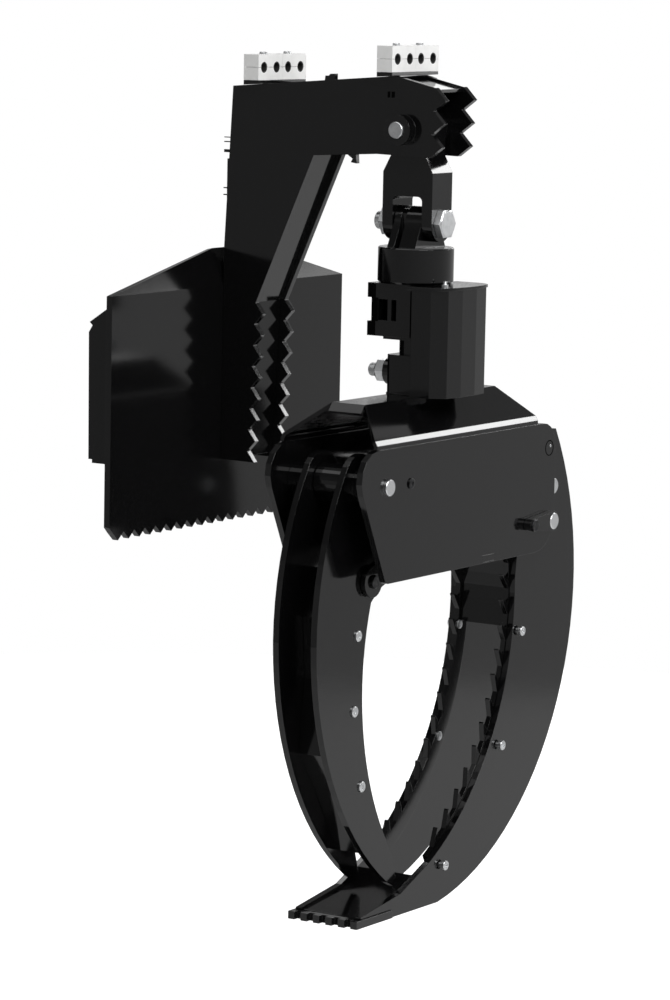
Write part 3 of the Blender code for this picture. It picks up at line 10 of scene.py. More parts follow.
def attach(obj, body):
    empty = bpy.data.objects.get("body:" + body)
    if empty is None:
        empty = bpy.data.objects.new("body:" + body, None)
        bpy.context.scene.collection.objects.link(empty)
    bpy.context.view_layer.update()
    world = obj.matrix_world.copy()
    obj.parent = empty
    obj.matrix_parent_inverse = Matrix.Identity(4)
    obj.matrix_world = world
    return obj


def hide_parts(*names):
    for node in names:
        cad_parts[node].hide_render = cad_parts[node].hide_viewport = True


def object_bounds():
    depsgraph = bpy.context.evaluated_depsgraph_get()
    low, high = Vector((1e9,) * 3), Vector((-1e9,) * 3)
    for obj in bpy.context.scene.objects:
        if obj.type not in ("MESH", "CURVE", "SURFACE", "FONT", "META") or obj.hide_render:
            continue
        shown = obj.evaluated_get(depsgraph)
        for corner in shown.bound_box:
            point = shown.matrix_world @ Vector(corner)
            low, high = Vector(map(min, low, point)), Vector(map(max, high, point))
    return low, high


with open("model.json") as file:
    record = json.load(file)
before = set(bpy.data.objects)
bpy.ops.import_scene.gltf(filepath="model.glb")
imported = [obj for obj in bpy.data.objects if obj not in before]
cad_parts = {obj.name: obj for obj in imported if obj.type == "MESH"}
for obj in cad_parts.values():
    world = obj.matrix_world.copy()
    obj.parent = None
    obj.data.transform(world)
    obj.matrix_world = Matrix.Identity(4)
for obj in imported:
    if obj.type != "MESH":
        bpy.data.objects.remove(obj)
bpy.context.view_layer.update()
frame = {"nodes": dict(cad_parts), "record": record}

MM = 0.001
CLOSE = 1e-6
NODES = frame["nodes"]


def in_metres(*points):
    """Points that are written in millimetres."""
    return [tuple(value * MM for value in point) for point in points]


# Camera, measured against the boom's planes and the round pins

SENSOR_HEIGHT = 24
FOCAL_HEIGHTS = 4.212
CAMERA_PLACE = Vector((3.716, -5.379, 0.683))
CAMERA_TURN = radians(33.21)
CAMERA_RISE = radians(7.56)
CAMERA_ROLL = radians(1.15)


def make_camera():
    data = bpy.data.cameras.new("camera")
    data.sensor_fit = "VERTICAL"
    data.sensor_height = SENSOR_HEIGHT
    data.lens = FOCAL_HEIGHTS * SENSOR_HEIGHT
    away = cos(CAMERA_RISE)
    back = Vector((sin(CAMERA_TURN) * away, -cos(CAMERA_TURN) * away, sin(CAMERA_RISE)))
    level = Vector((cos(CAMERA_TURN), sin(CAMERA_TURN), 0))
    upright = back.cross(level)
    right = level * cos(CAMERA_ROLL) + upright * sin(CAMERA_ROLL)
    up = upright * cos(CAMERA_ROLL) - level * sin(CAMERA_ROLL)
    turn = Matrix((right, up, back)).transposed().to_4x4()
    camera = bpy.data.objects.new("camera", data)
    camera.matrix_world = Matrix.Translation(CAMERA_PLACE) @ turn
    bpy.context.scene.collection.objects.link(camera)
    bpy.context.scene.camera = camera


# Lamps

LIGHT_DISTANCE = 4.0
# name: turn from +Y toward +X, rise, width and height in degrees, radiance
PANELS = {
    "rear_high": (23, 26.5, 17, 12, 10.0),
    "rear_low": (36, 10, 34, 7, 2.0),
    "rear_left": (-20, 21, 25, 20, 1.9),
    "left_high": (-42, 42, 24, 10, 2.4),
    "key": (112, 40, 36, 28, 6.6),
    "top": (200, 72, 50, 40, 1.1),
}


def direction(turn, rise):
    """A way given by its turn from +Y toward +X and its rise, in degrees."""
    turn, rise = radians(turn), radians(rise)
    return Vector((sin(turn) * cos(rise), cos(turn) * cos(rise), sin(rise)))


def make_lights(target):
    for name, (turn, rise, width, height, radiance) in PANELS.items():
        data = bpy.data.lights.new(name, "AREA")
        data.shape = "RECTANGLE"
        data.size = 2 * LIGHT_DISTANCE * tan(radians(width / 2))
        data.size_y = 2 * LIGHT_DISTANCE * tan(radians(height / 2))
        data.energy = radiance * data.size * data.size_y * pi
        lamp = bpy.data.objects.new(name, data)
        way = direction(turn, rise)
        lamp.location = target + way * LIGHT_DISTANCE
        lamp.rotation_euler = way.to_track_quat("Z", "Y").to_euler()
        lamp.visible_camera = False
        bpy.context.scene.collection.objects.link(lamp)


# Node helpers

def add_node(tree, kind, **values):
    made = tree.nodes.new(kind)
    for key, value in values.items():
        setattr(made, key, value)
    return made


def add_ramp(tree, value, low, high, start=0.0, stop=1.0):
    """A value carried over from one range to another."""
    ramp = add_node(tree, "ShaderNodeMapRange")
    for key, number in (("From Min", start), ("From Max", stop), ("To Min", low), ("To Max", high)):
        ramp.inputs[key].default_value = number
    tree.links.new(value, ramp.inputs["Value"])
    return ramp.outputs["Result"]


# World

ROOM_WAY = (0.45, 0.65, 0.2)
ROOM_SPAN = 0.8
ROOM_DIM, ROOM_BRIGHT = 0.32, 0.6
OVERHEAD_START, OVERHEAD_STOP = 0.14, 0.42
OVERHEAD_SHARE = 0.36
WHITE = (1, 1, 1, 1)


def make_world():
    """Dim on the side that the near plates mirror and overhead, brighter behind, white to the camera."""
    world = bpy.data.worlds.new("studio")
    world.use_nodes = True
    bpy.context.scene.world = world
    tree = world.node_tree
    tree.nodes.clear()
    way = add_node(tree, "ShaderNodeTexCoord").outputs["Generated"]
    toward = add_node(tree, "ShaderNodeVectorMath", operation="DOT_PRODUCT")
    toward.inputs[1].default_value = ROOM_WAY
    tree.links.new(way, toward.inputs[0])
    level = add_ramp(tree, toward.outputs["Value"], ROOM_DIM, ROOM_BRIGHT, -ROOM_SPAN, ROOM_SPAN)
    parts = add_node(tree, "ShaderNodeSeparateXYZ")
    tree.links.new(way, parts.inputs[0])
    height = add_ramp(tree, parts.outputs["Z"], 1.0, OVERHEAD_SHARE, OVERHEAD_START, OVERHEAD_STOP)
    both = add_node(tree, "ShaderNodeMath", operation="MULTIPLY")
    tree.links.new(level, both.inputs[0])
    tree.links.new(height, both.inputs[1])
    room = add_node(tree, "ShaderNodeBackground")
    tree.links.new(both.outputs[0], room.inputs["Strength"])
    white = add_node(tree, "ShaderNodeBackground")
    white.inputs["Color"].default_value = WHITE
    rays = add_node(tree, "ShaderNodeLightPath")
    mix = add_node(tree, "ShaderNodeMixShader")
    out = add_node(tree, "ShaderNodeOutputWorld")
    tree.links.new(rays.outputs["Is Camera Ray"], mix.inputs["Fac"])
    tree.links.new(room.outputs[0], mix.inputs[1])
    tree.links.new(white.outputs[0], mix.inputs[2])
    tree.links.new(mix.outputs[0], out.inputs["Surface"])


# Floor, low enough for the open right tine

FLOOR_RADIUS = 3.2
FLOOR_SIDES = 96
FLOOR_DROP = 0.205
FLOOR_GLOW = 0.72
FLOOR_COLOUR = (0.85, 0.85, 0.85, 1)


def make_floor(height):
    """A pale disc that glows to the camera alone, so that it keeps the object's shadow."""
    mesh = bmesh.new()
    bmesh.ops.create_circle(mesh, cap_ends=True, segments=FLOOR_SIDES, radius=FLOOR_RADIUS)
    data = bpy.data.meshes.new("floor")
    mesh.to_mesh(data)
    mesh.free()
    floor = bpy.data.objects.new("floor", data)
    floor.location = (0, 0, height)
    bpy.context.scene.collection.objects.link(floor)
    finish = bpy.data.materials.new("pale_floor")
    finish.use_nodes = True
    tree = finish.node_tree
    tree.nodes.clear()
    matt = add_node(tree, "ShaderNodeBsdfDiffuse")
    matt.inputs["Color"].default_value = FLOOR_COLOUR
    glow = add_node(tree, "ShaderNodeEmission")
    rays = add_node(tree, "ShaderNodeLightPath")
    level = add_node(tree, "ShaderNodeMath", operation="MULTIPLY")
    level.inputs[1].default_value = FLOOR_GLOW
    both = add_node(tree, "ShaderNodeAddShader")
    out = add_node(tree, "ShaderNodeOutputMaterial")
    tree.links.new(rays.outputs["Is Camera Ray"], level.inputs[0])
    tree.links.new(level.outputs[0], glow.inputs["Strength"])
    tree.links.new(matt.outputs[0], both.inputs[0])
    tree.links.new(glow.outputs[0], both.inputs[1])
    tree.links.new(both.outputs[0], out.inputs["Surface"])
    data.materials.append(finish)


# Materials

class Finish:
    """A Principled material, with short ways to add the nodes that a finish needs."""

    def __init__(self, name, **values):
        self.material = bpy.data.materials.new(name)
        self.material.use_nodes = True
        self.tree = self.material.node_tree
        self.shader = self.tree.nodes["Principled BSDF"]
        self.place = self.node("ShaderNodeTexCoord").outputs["Object"]
        for key, value in values.items():
            self.shader.inputs[key].default_value = value

    def node(self, kind, **values):
        return add_node(self.tree, kind, **values)

    def link(self, output, socket):
        self.tree.links.new(output, socket)

    def noise(self, scale, detail, roughness=0.5, stretch=(1, 1, 1)):
        """A noise in object space, with a scale in cells per metre."""
        shape = self.node("ShaderNodeMapping")
        shape.inputs["Scale"].default_value = stretch
        grain = self.node("ShaderNodeTexNoise")
        grain.inputs["Scale"].default_value = scale
        grain.inputs["Detail"].default_value = detail
        grain.inputs["Roughness"].default_value = roughness
        self.link(self.place, shape.inputs["Vector"])
        self.link(shape.outputs["Vector"], grain.inputs["Vector"])
        return grain.outputs["Fac"]

    def between(self, value, low, high, start=0.0, stop=1.0):
        return add_ramp(self.tree, value, low, high, start, stop)

    def mix(self, factor, low, high):
        """A colour between two colours."""
        blend = self.node("ShaderNodeMix", data_type="RGBA")
        blend.inputs["A"].default_value = (*low, 1)
        blend.inputs["B"].default_value = (*high, 1)
        self.link(factor, blend.inputs["Factor"])
        return blend.outputs["Result"]

    def relief(self, grain, depth, strength):
        """Fine bumps of a noise, over the rounded edges where the finish has them."""
        bump = self.node("ShaderNodeBump")
        bump.inputs["Distance"].default_value = depth * MM
        bump.inputs["Strength"].default_value = strength
        self.link(self.noise(*grain), bump.inputs["Height"])
        normal = self.shader.inputs["Normal"]
        if normal.is_linked:
            self.link(normal.links[0].from_socket, bump.inputs["Normal"])
        self.link(bump.outputs["Normal"], normal)

    def tone(self, grain, share, colours):
        """Two colours in patches of a noise."""
        blend = self.between(self.noise(*grain), 0, 1, *share)
        self.link(self.mix(blend, *colours), self.shader.inputs["Base Color"])

    def sheen(self, grain, span):
        """A roughness that varies with a noise."""
        self.link(self.between(self.noise(*grain), *span), self.shader.inputs["Roughness"])

    def soft_edges(self, radius):
        """Sharp corners catch the light as a rounded edge of this radius."""
        edge = self.node("ShaderNodeBevel", samples=4)
        edge.inputs["Radius"].default_value = radius * MM
        self.link(edge.outputs["Normal"], self.shader.inputs["Normal"])


PAINT = (0.0028, 0.0028, 0.003)
PAINT_SCUFF = (0.0055, 0.0055, 0.0055)
ZINC = (0.74, 0.75, 0.76)

# A noise is its scale and detail, and its roughness and stretch where they aren't the plain ones.
# edge: radius of the soft edges in mm
# relief: noise, depth in mm, strength
# tone: noise, the part of the noise that blends two colours, the two colours
# sheen: noise, the lowest and highest roughness
FINISH_VALUES = {
    # Satin black powder coat with fine orange peel and faint scuffs
    "black_paint": {
        "values": {"IOR": 1.5},
        "edge": 0.9,
        "relief": ((620, 2), 0.035, 0.5),
        "tone": ((38, 6, 0.7), (0.62, 0.8), (PAINT, PAINT_SCUFF)),
        "sheen": ((24, 5, 0.65), (0.07, 0.14)),
    },
    # Bright zinc plate, a little cloudy
    "zinc_steel": {
        "values": {"Metallic": 1.0},
        "edge": 0.5,
        "relief": ((700, 2), 0.02, 0.4),
        "tone": ((120, 4, 0.6), (0.3, 0.7), ((0.6, 0.61, 0.62), ZINC)),
        "sheen": ((90, 4), (0.26, 0.42)),
    },
    # Ground and chromed bar, with fine marks round it
    "chrome_rod": {
        "values": {"Metallic": 1.0},
        "relief": ((500, 2, 0.5, (1, 0.05, 1)), 0.01, 0.3),
        "tone": ((45, 4), (0.35, 0.7), ((0.7, 0.71, 0.73), (0.8, 0.8, 0.82))),
        "sheen": ((70, 4), (0.07, 0.18)),
    },
    # Moulded white plastic with a fine spark-eroded grain
    "clamp_white": {
        "values": {"IOR": 1.48},
        "edge": 0.6,
        "relief": ((900, 2), 0.04, 0.5),
        "tone": ((60, 4), (0.35, 0.7), ((0.8, 0.8, 0.79), (0.85, 0.85, 0.84))),
        "sheen": ((150, 3), (0.38, 0.52)),
    },
    # Blackened fasteners, with a worn sheen
    "dark_steel": {
        "values": {"Metallic": 1.0},
        "edge": 0.5,
        "relief": ((700, 2), 0.02, 0.4),
        "tone": ((160, 5, 0.65), (0.45, 0.8), ((0.03, 0.03, 0.032), (0.12, 0.12, 0.12))),
        "sheen": ((90, 4), (0.25, 0.42)),
    },
    # Moulded hose grips, matt and a little dusty
    "dark_rubber": {
        "values": {"IOR": 1.5},
        "relief": ((900, 3), 0.05, 0.6),
        "tone": ((140, 5), (0.4, 0.8), ((0.009, 0.009, 0.009), (0.022, 0.022, 0.021))),
        "sheen": ((80, 3), (0.55, 0.75)),
    },
    # Painted weld metal: the paint of the plates over a rippled bead
    "weld_paint": {
        "values": {"IOR": 1.5},
        "relief": ((380, 4, 0.6), 0.12, 0.6),
        "tone": ((90, 4), (0.4, 0.8), (PAINT, (0.007, 0.007, 0.007))),
        "sheen": ((60, 4), (0.4, 0.6)),
    },
    # Painted shade: near-black sheets standing in for the shadow in recesses, slots and hole walls, with
    # next to no sheen
    "painted_shade_black": {
        "values": {"IOR": 1.12},
        "relief": ((700, 3), 0.03, 0.5),
        "tone": ((140, 5), (0.4, 0.8), ((0.0008, 0.0008, 0.0008), (0.002, 0.002, 0.002))),
        "sheen": ((80, 3), (0.5, 0.7)),
    },
}


def make_finish(name, values, relief, tone, sheen, edge=0.0):
    made = Finish(name, **values)
    if edge:
        made.soft_edges(edge)
    made.relief(*relief)
    made.tone(*tone)
    made.sheen(*sheen)
    return made.material


FLAG_EDGE = 0.5
FLAG_RELIEF = ((420, 2), 0.05, 0.4)
FLAG_SHEEN = ((90, 4), (0.24, 0.36))
FLAG_BLEND = 0.2 * MM
PIN_END_RADIUS = 12.7 * MM


def painted_flag(name, pivot):
    """Zinc on the pin's end, by the distance from its axis, and black paint on the flag outside it."""
    made = Finish(name)
    made.soft_edges(FLAG_EDGE)
    made.relief(*FLAG_RELIEF)
    parts = made.node("ShaderNodeSeparateXYZ")
    made.link(made.place, parts.inputs[0])
    flat = made.node("ShaderNodeCombineXYZ")
    made.link(parts.outputs["Y"], flat.inputs["Y"])
    made.link(parts.outputs["Z"], flat.inputs["Z"])
    reach = made.node("ShaderNodeVectorMath", operation="DISTANCE")
    made.link(flat.outputs[0], reach.inputs[0])
    reach.inputs[1].default_value = (0, *pivot)
    outside = made.between(reach.outputs["Value"], 0, 1, PIN_END_RADIUS, PIN_END_RADIUS + FLAG_BLEND)
    made.link(made.mix(outside, ZINC, PAINT), made.shader.inputs["Base Color"])
    made.link(made.between(outside, 1, 0), made.shader.inputs["Metallic"])
    made.sheen(*FLAG_SHEEN)
    return made.material


FINISHES = {name: make_finish(name, **values) for name, values in FINISH_VALUES.items()}
SLOT_OF = {part["node"]: part["material_slot"] for part in frame["record"]["subparts"]}
DARK_NODES = ("left_pin_lock_bolt", "right_pin_lock_bolt", "left_tie_pin")


def dress(node, finish):
    for slot in NODES[node].material_slots:
        slot.material = finish


def dress_cad():
    for node in NODES:
        dress(node, FINISHES[SLOT_OF[node]])
    dress("left_pivot_pin", painted_flag("left_flag_paint", LEFT_PIVOT))
    dress("right_pivot_pin", painted_flag("right_flag_paint", RIGHT_PIVOT))
    for node in DARK_NODES:
        dress(node, FINISHES["dark_steel"])


# Mesh helpers

WAYS = {"X": Vector((1, 0, 0)), "Y": Vector((0, 1, 0)), "Z": Vector((0, 0, 1))}
PLACES = {"X": (1, 2), "Y": (0, 2), "Z": (0, 1)}
# Sides of a round form, and the angle in degrees past which an edge is sharp
ROUND = 32
CREASE = 32


def add_prism(mesh, outline, facing, start, thickness, holes=()):
    """An outline in the plane across an axis, drawn out along it from start."""
    first, second = PLACES[facing]
    along = "XYZ".index(facing)
    edges = []
    for loop in (outline, *holes):
        verts = []
        for a, b in loop:
            spot = [0.0, 0.0, 0.0]
            spot[first], spot[second], spot[along] = a, b, start
            verts.append(mesh.verts.new(spot))
        edges += [mesh.edges.new(pair) for pair in zip(verts, verts[1:] + verts[:1])]
    if holes:
        made = bmesh.ops.triangle_fill(mesh, use_beauty=True, use_dissolve=False, edges=edges)
        faces = [item for item in made["geom"] if isinstance(item, bmesh.types.BMFace)]
    else:
        faces = [mesh.faces.new([edge.verts[0] for edge in edges])]
    drawn = bmesh.ops.extrude_face_region(mesh, geom=faces)
    moved = [item for item in drawn["geom"] if isinstance(item, bmesh.types.BMVert)]
    bmesh.ops.translate(mesh, verts=moved, vec=WAYS[facing] * thickness)


def add_turned(mesh, profile, place, way, sides=ROUND):
    """A profile of (radius, distance) turned round a way through a place."""
    turn = Vector(way).to_track_quat("Z", "Y").to_matrix()
    rings = []
    for radius, distance in profile:
        count = 1 if radius == 0 else sides
        ring = []
        for step in range(count):
            angle = 2 * pi * step / sides
            spot = turn @ Vector((radius * cos(angle), radius * sin(angle), distance))
            ring.append(mesh.verts.new(Vector(place) + spot))
        rings.append(ring)
    for one, two in zip(rings, rings[1:]):
        for step in range(sides):
            following = (step + 1) % sides
            if len(one) == 1:
                mesh.faces.new((one[0], two[step], two[following]))
            elif len(two) == 1:
                mesh.faces.new((one[step], two[0], one[following]))
            else:
                mesh.faces.new((one[step], two[step], two[following], one[following]))


def join_close(mesh):
    bmesh.ops.remove_doubles(mesh, verts=mesh.verts, dist=CLOSE)


def finish_piece(name, mesh, finish, body, replaced=(), crease=CREASE):
    bmesh.ops.recalc_face_normals(mesh, faces=mesh.faces)
    data = bpy.data.meshes.new(name)
    mesh.to_mesh(data)
    mesh.free()
    data.polygons.foreach_set("use_smooth", [True] * len(data.polygons))
    data.set_sharp_from_angle(angle=radians(crease))
    data.materials.append(FINISHES[finish])
    piece = bpy.data.objects.new(name, data)
    bpy.context.scene.collection.objects.link(piece)
    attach(piece, body)
    if replaced:
        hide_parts(*replaced)


def ring_points(place, radius, count, start=0.0, stop=2 * pi):
    """Points on an arc, or on a whole circle without its start twice."""
    step = (stop - start) / count
    whole = abs(stop - start - 2 * pi) < CLOSE
    return [(place[0] + radius * cos(start + step * n), place[1] + radius * sin(start + step * n))
            for n in range(count if whole else count + 1)]


# Places taken over from the solids

PIN_X, PIN_Z = 332 * MM, 405 * MM
PIN_BORE = 12.9 * MM
CROSS_Z = 265 * MM
CROSS_BORE = 13.9 * MM
BOOM_INNER = 34.7 * MM
HEAD_X, HEAD_Z = 336 * MM, -54 * MM
HEAD_HALF = 85.5 * MM
LEFT_PIVOT = (-206 * MM, -111 * MM)
RIGHT_PIVOT = (261 * MM, -208 * MM)
LOCK_OFFSET = 64 * MM

# Roof

ROOF_SECTION = in_metres((29, 59), (81.4, 13.2), (85.4, 6.2), (85.4, 0.4))
ROOF_TOP_HALF, ROOF_TOP = ROOF_SECTION[0]
ROOF_TOP_END = 185 * MM
ROOF_FEET = (-236 * MM, 224 * MM)
ROOF_SHEET = 6 * MM
ROOF_CREASE = 10
FLAP_LENGTH = 16 * MM
FLAP_FALL = radians(50)


def make_roof():
    """The folded roof, with a crisp steeper bevel along each foot and a folded flap at each end."""
    across = [(-x, z) for x, z in reversed(ROOF_SECTION)] + ROOF_SECTION
    mesh = bmesh.new()
    rows = []
    for x, z in across:
        ends = (-ROOF_TOP_END, ROOF_TOP_END) if abs(x) == ROOF_TOP_HALF else ROOF_FEET
        rows.append([mesh.verts.new((HEAD_X + x, y, HEAD_Z + z)) for y in ends])
    for row, following in zip(rows, rows[1:]):
        mesh.faces.new((row[0], row[1], following[1], following[0]))
    middle_row = len(rows) // 2
    z = HEAD_Z + ROOF_TOP - FLAP_LENGTH * sin(FLAP_FALL)
    for end, side in ((0, -1), (1, 1)):
        y = side * (ROOF_TOP_END + FLAP_LENGTH * cos(FLAP_FALL))
        left, right = rows[middle_row - 1][end], rows[middle_row][end]
        flap = [mesh.verts.new((HEAD_X + x, y, z)) for x in (ROOF_TOP_HALF, -ROOF_TOP_HALF)]
        mesh.faces.new((left, right, *flap))
    bmesh.ops.recalc_face_normals(mesh, faces=mesh.faces)
    top = max(mesh.faces, key=lambda face: face.calc_center_median().z)
    top.normal_update()
    thickness = ROOF_SHEET if top.normal.z > 0 else -ROOF_SHEET
    bmesh.ops.solidify(mesh, geom=mesh.faces[:], thickness=thickness)
    finish_piece("folded_roof", mesh, "black_paint", "head", ("head_roof",), ROOF_CREASE)


# Rotator housing

HOUSING_RADIUS = 57.5 * MM
HOUSING_TOP, HOUSING_FOOT = CROSS_Z - 37 * MM, CROSS_Z - 91 * MM
HOUSING_EDGE = 1.5 * MM
HOUSING_SIDES = 128
LUG_HALF, LUG_RADIUS, LUG_FOOT = 25 * MM, 25 * MM, 43 * MM
RECESS_START, RECESS_WIDTH = -13 * MM, 9 * MM
CORE_HALF, CORE_SHOULDER = 20 * MM, 14 * MM
CORE_TOP_HALF, CORE_TOP = 14 * MM, 20 * MM
SHAFT_RADIUS, SHAFT_DEPTH = 22.3 * MM, 44 * MM
OVERLAP = 1 * MM


def make_housing():
    """The smooth round housing and the lug that hangs on the cross bolt."""
    mesh = bmesh.new()
    edge = HOUSING_EDGE
    ceiling = HOUSING_FOOT + SHAFT_DEPTH
    profile = [(0, HOUSING_TOP), (HOUSING_RADIUS - edge, HOUSING_TOP), (HOUSING_RADIUS, HOUSING_TOP - edge),
               (HOUSING_RADIUS, HOUSING_FOOT + 2 * edge), (HOUSING_RADIUS - 2 * edge, HOUSING_FOOT),
               (SHAFT_RADIUS, HOUSING_FOOT), (SHAFT_RADIUS, ceiling), (0, ceiling)]
    add_turned(mesh, profile, (PIN_X, 0, 0), (0, 0, 1), HOUSING_SIDES)
    foot = HOUSING_TOP - OVERLAP
    cheek = ring_points((0, CROSS_Z), LUG_RADIUS, ROUND, 0, pi) + [(-LUG_FOOT, foot), (LUG_FOOT, foot)]
    bore = [ring_points((0, CROSS_Z), CROSS_BORE, ROUND)]
    first = PIN_X - LUG_HALF
    second = PIN_X + RECESS_START + RECESS_WIDTH
    add_prism(mesh, cheek, "X", first, LUG_HALF + RECESS_START, bore)
    add_prism(mesh, cheek, "X", second, PIN_X + LUG_HALF - second, bore)
    shoulder, top = CROSS_Z + CORE_SHOULDER, CROSS_Z + CORE_TOP
    core = [(-CORE_HALF, foot), (CORE_HALF, foot), (CORE_HALF, shoulder), (CORE_TOP_HALF, top),
            (-CORE_TOP_HALF, top), (-CORE_HALF, shoulder)]
    add_prism(mesh, core, "X", PIN_X + RECESS_START - OVERLAP, RECESS_WIDTH + 2 * OVERLAP, bore)
    finish_piece("round_housing", mesh, "black_paint", "stator", ("rotator_housing",))


# Link

LINK_REACH, LINK_HALF, LINK_BOSS = 44 * MM, 28 * MM, 30 * MM
LINK_LEG, LINK_ARCH, LINK_FILLET = 26 * MM, -100 * MM, 8 * MM
CHAMFER_TOP, CHAMFER_FOOT = -38 * MM, -64 * MM
LINK_JOIN = -112 * MM
LINK_CREASE = 20
FILLET_STEPS = 8
COLLAR_RADIUS, COLLAR_LENGTH, COLLAR_SIDES = LINK_BOSS - 0.05 * MM, 6.7 * MM, 64


def make_link():
    """The link: a boss on the boom pin, a block with long chamfers, and two round-ended legs."""
    mesh = bmesh.new()
    turn = LINK_LEG - LINK_FILLET
    crown = LINK_ARCH - LINK_FILLET
    arch = (ring_points((-turn, crown), LINK_FILLET, FILLET_STEPS, pi, pi / 2)
            + ring_points((turn, crown), LINK_FILLET, FILLET_STEPS, pi / 2, 0))
    right = [(LINK_REACH, LINK_JOIN), (LINK_REACH, CHAMFER_FOOT), (LINK_BOSS, CHAMFER_TOP), (LINK_BOSS, 0)]
    left = [(-x, z) for x, z in reversed(right)]
    boss = ring_points((0, 0), LINK_BOSS, ROUND, 0, pi)[1:-1]
    outline = right + boss + left + [(-LINK_LEG, LINK_JOIN)] + arch + [(LINK_LEG, LINK_JOIN)]
    outline = [(PIN_X + x, PIN_Z + z) for x, z in outline]
    bore = [ring_points((PIN_X, PIN_Z), PIN_BORE, ROUND)]
    add_prism(mesh, outline, "Y", -LINK_HALF, 2 * LINK_HALF, bore)
    collar = ring_points((PIN_X, PIN_Z), COLLAR_RADIUS, COLLAR_SIDES)
    for start in (-BOOM_INNER, LINK_HALF):
        add_prism(mesh, collar, "Y", start, COLLAR_LENGTH, bore)
    joint = PIN_Z + LINK_JOIN
    leg = ring_points((0, CROSS_Z), LINK_HALF, ROUND, pi, 2 * pi) + [(LINK_HALF, joint), (-LINK_HALF, joint)]
    eye = [ring_points((0, CROSS_Z), CROSS_BORE, ROUND)]
    for start in (-LINK_REACH, LINK_LEG):
        add_prism(mesh, leg, "X", PIN_X + start, LINK_REACH - LINK_LEG, eye)
    join_close(mesh)
    inside = [face for face in mesh.faces if all(abs(vert.co.z - joint) < CLOSE for vert in face.verts)]
    bmesh.ops.delete(mesh, geom=inside, context="FACES_ONLY")
    finish_piece("long_chamfer_link", mesh, "black_paint", "link", ("swing_link",),
                 LINK_CREASE)


# Fasteners

DOME_HEIGHT = 0.28
# Share of the radius, share of the dome's height below the top
DOME = ((1, 1), (0.93, 0.45), (0.75, 0.12), (0.5, 0))
DIMPLE_RIM, DIMPLE_FOOT, DIMPLE_DEPTH = 0.42, 0.38, 0.35
HEAD_SEAT, NECK_SEAT = 0.5 * MM, 1 * MM


def add_round_head(mesh, place, way, radius, height, neck=0.0, neck_radius=0.0):
    """A domed head, on a neck where it stands off the plate."""
    if neck:
        profile = [(0, -NECK_SEAT), (neck_radius, -NECK_SEAT), (neck_radius, neck)]
    else:
        profile = [(0, -HEAD_SEAT), (radius, -HEAD_SEAT)]
    top = neck + height
    dome = DOME_HEIGHT * height
    floor = top - DIMPLE_DEPTH * height
    profile += [(radius, neck)] + [(share * radius, top - fall * dome) for share, fall in DOME]
    profile += [(DIMPLE_RIM * radius, top), (DIMPLE_FOOT * radius, floor), (0, floor)]
    add_turned(mesh, profile, place, way)


THREAD_DEPTH, THREAD_SIDE = 0.3 * MM, 0.05 * MM
POINT_DEPTH, POINT_LENGTH = 1.1 * MM, 0.9 * MM


def add_thread(mesh, place, way, radius, length, pitch):
    """Thread crests round the end of a bolt."""
    profile = [(0, 0), (radius - THREAD_DEPTH, 0)]
    turns = int(length / pitch)
    for turn in range(turns):
        profile += [(radius + THREAD_SIDE, (turn + 0.25) * pitch),
                    (radius + THREAD_DEPTH, (turn + 0.5) * pitch),
                    (radius + THREAD_SIDE, (turn + 0.75) * pitch)]
    end = turns * pitch
    profile += [(radius - THREAD_DEPTH, end), (radius - POINT_DEPTH, end + POINT_LENGTH),
                (0, end + POINT_LENGTH)]
    add_turned(mesh, profile, place, way)


# Places along Y and Z in mm, the plate faces that the heads sit on as side and X in mm,
# and the heads' radius, height, neck and neck radius
LEFT_STRIP_BOLTS = ((-206, -337), (-212, -450), (-188, -567))
LEFT_FACES = ((1, 374.5), (-1, 297.5))
LEFT_HEAD = (8.2 * MM, 3.4 * MM)
RIGHT_STRIP_BOLTS = ((226, -381), (174, -555), (13, -718))
RIGHT_FACES = ((1, 394.5), (-1, 277.5))
RIGHT_HEAD = (7.6 * MM, 5.4 * MM, 4.2 * MM, 5 * MM)
RIGHT_INNER_BOLTS = ((209, -379), (156, -550))
RIGHT_INNER_FACES = ((1, 287.5),)
RIGHT_INNER_HEAD = (7.2 * MM, 2.6 * MM, 8.4 * MM, 5 * MM)


def add_side_heads(mesh, places, faces, head):
    for y, z in places:
        for side, face in faces:
            add_round_head(mesh, (face * MM, y * MM, z * MM), (side, 0, 0), *head)


def make_strip_bolts():
    """The bolts that hold the toothed strips to the tine plates."""
    mesh = bmesh.new()
    add_side_heads(mesh, LEFT_STRIP_BOLTS, LEFT_FACES, LEFT_HEAD)
    finish_piece("left_strip_bolts", mesh, "zinc_steel", "left_tine")
    mesh = bmesh.new()
    add_side_heads(mesh, RIGHT_STRIP_BOLTS, RIGHT_FACES, RIGHT_HEAD)
    add_side_heads(mesh, RIGHT_INNER_BOLTS, RIGHT_INNER_FACES, RIGHT_INNER_HEAD)
    finish_piece("right_strip_bolts", mesh, "zinc_steel", "right_tine")


# Each row of clamps: its centre along X, its top and the split between its halves, in mm
CLAMP_ROWS = ((69, 509.3, 489.85), (310, 529.6, 510.05))
CLAMP_Y = 32.65 * MM
CLAMP_HEAD = (6 * MM, 3.8 * MM)
HOSE_OFFSET = 17 * MM
GRIP_LENGTH = 26.4 * MM
GRIP_OUTER, GRIP_INNER, RIB_INNER = 8.35 * MM, 6.9 * MM, 6.3 * MM
RIB_COUNT, RIB_PITCH = 7, 3.6 * MM
RIB_FOOT, RIB_START, RIB_STOP = 0.9 * MM, 1.4 * MM, 3 * MM


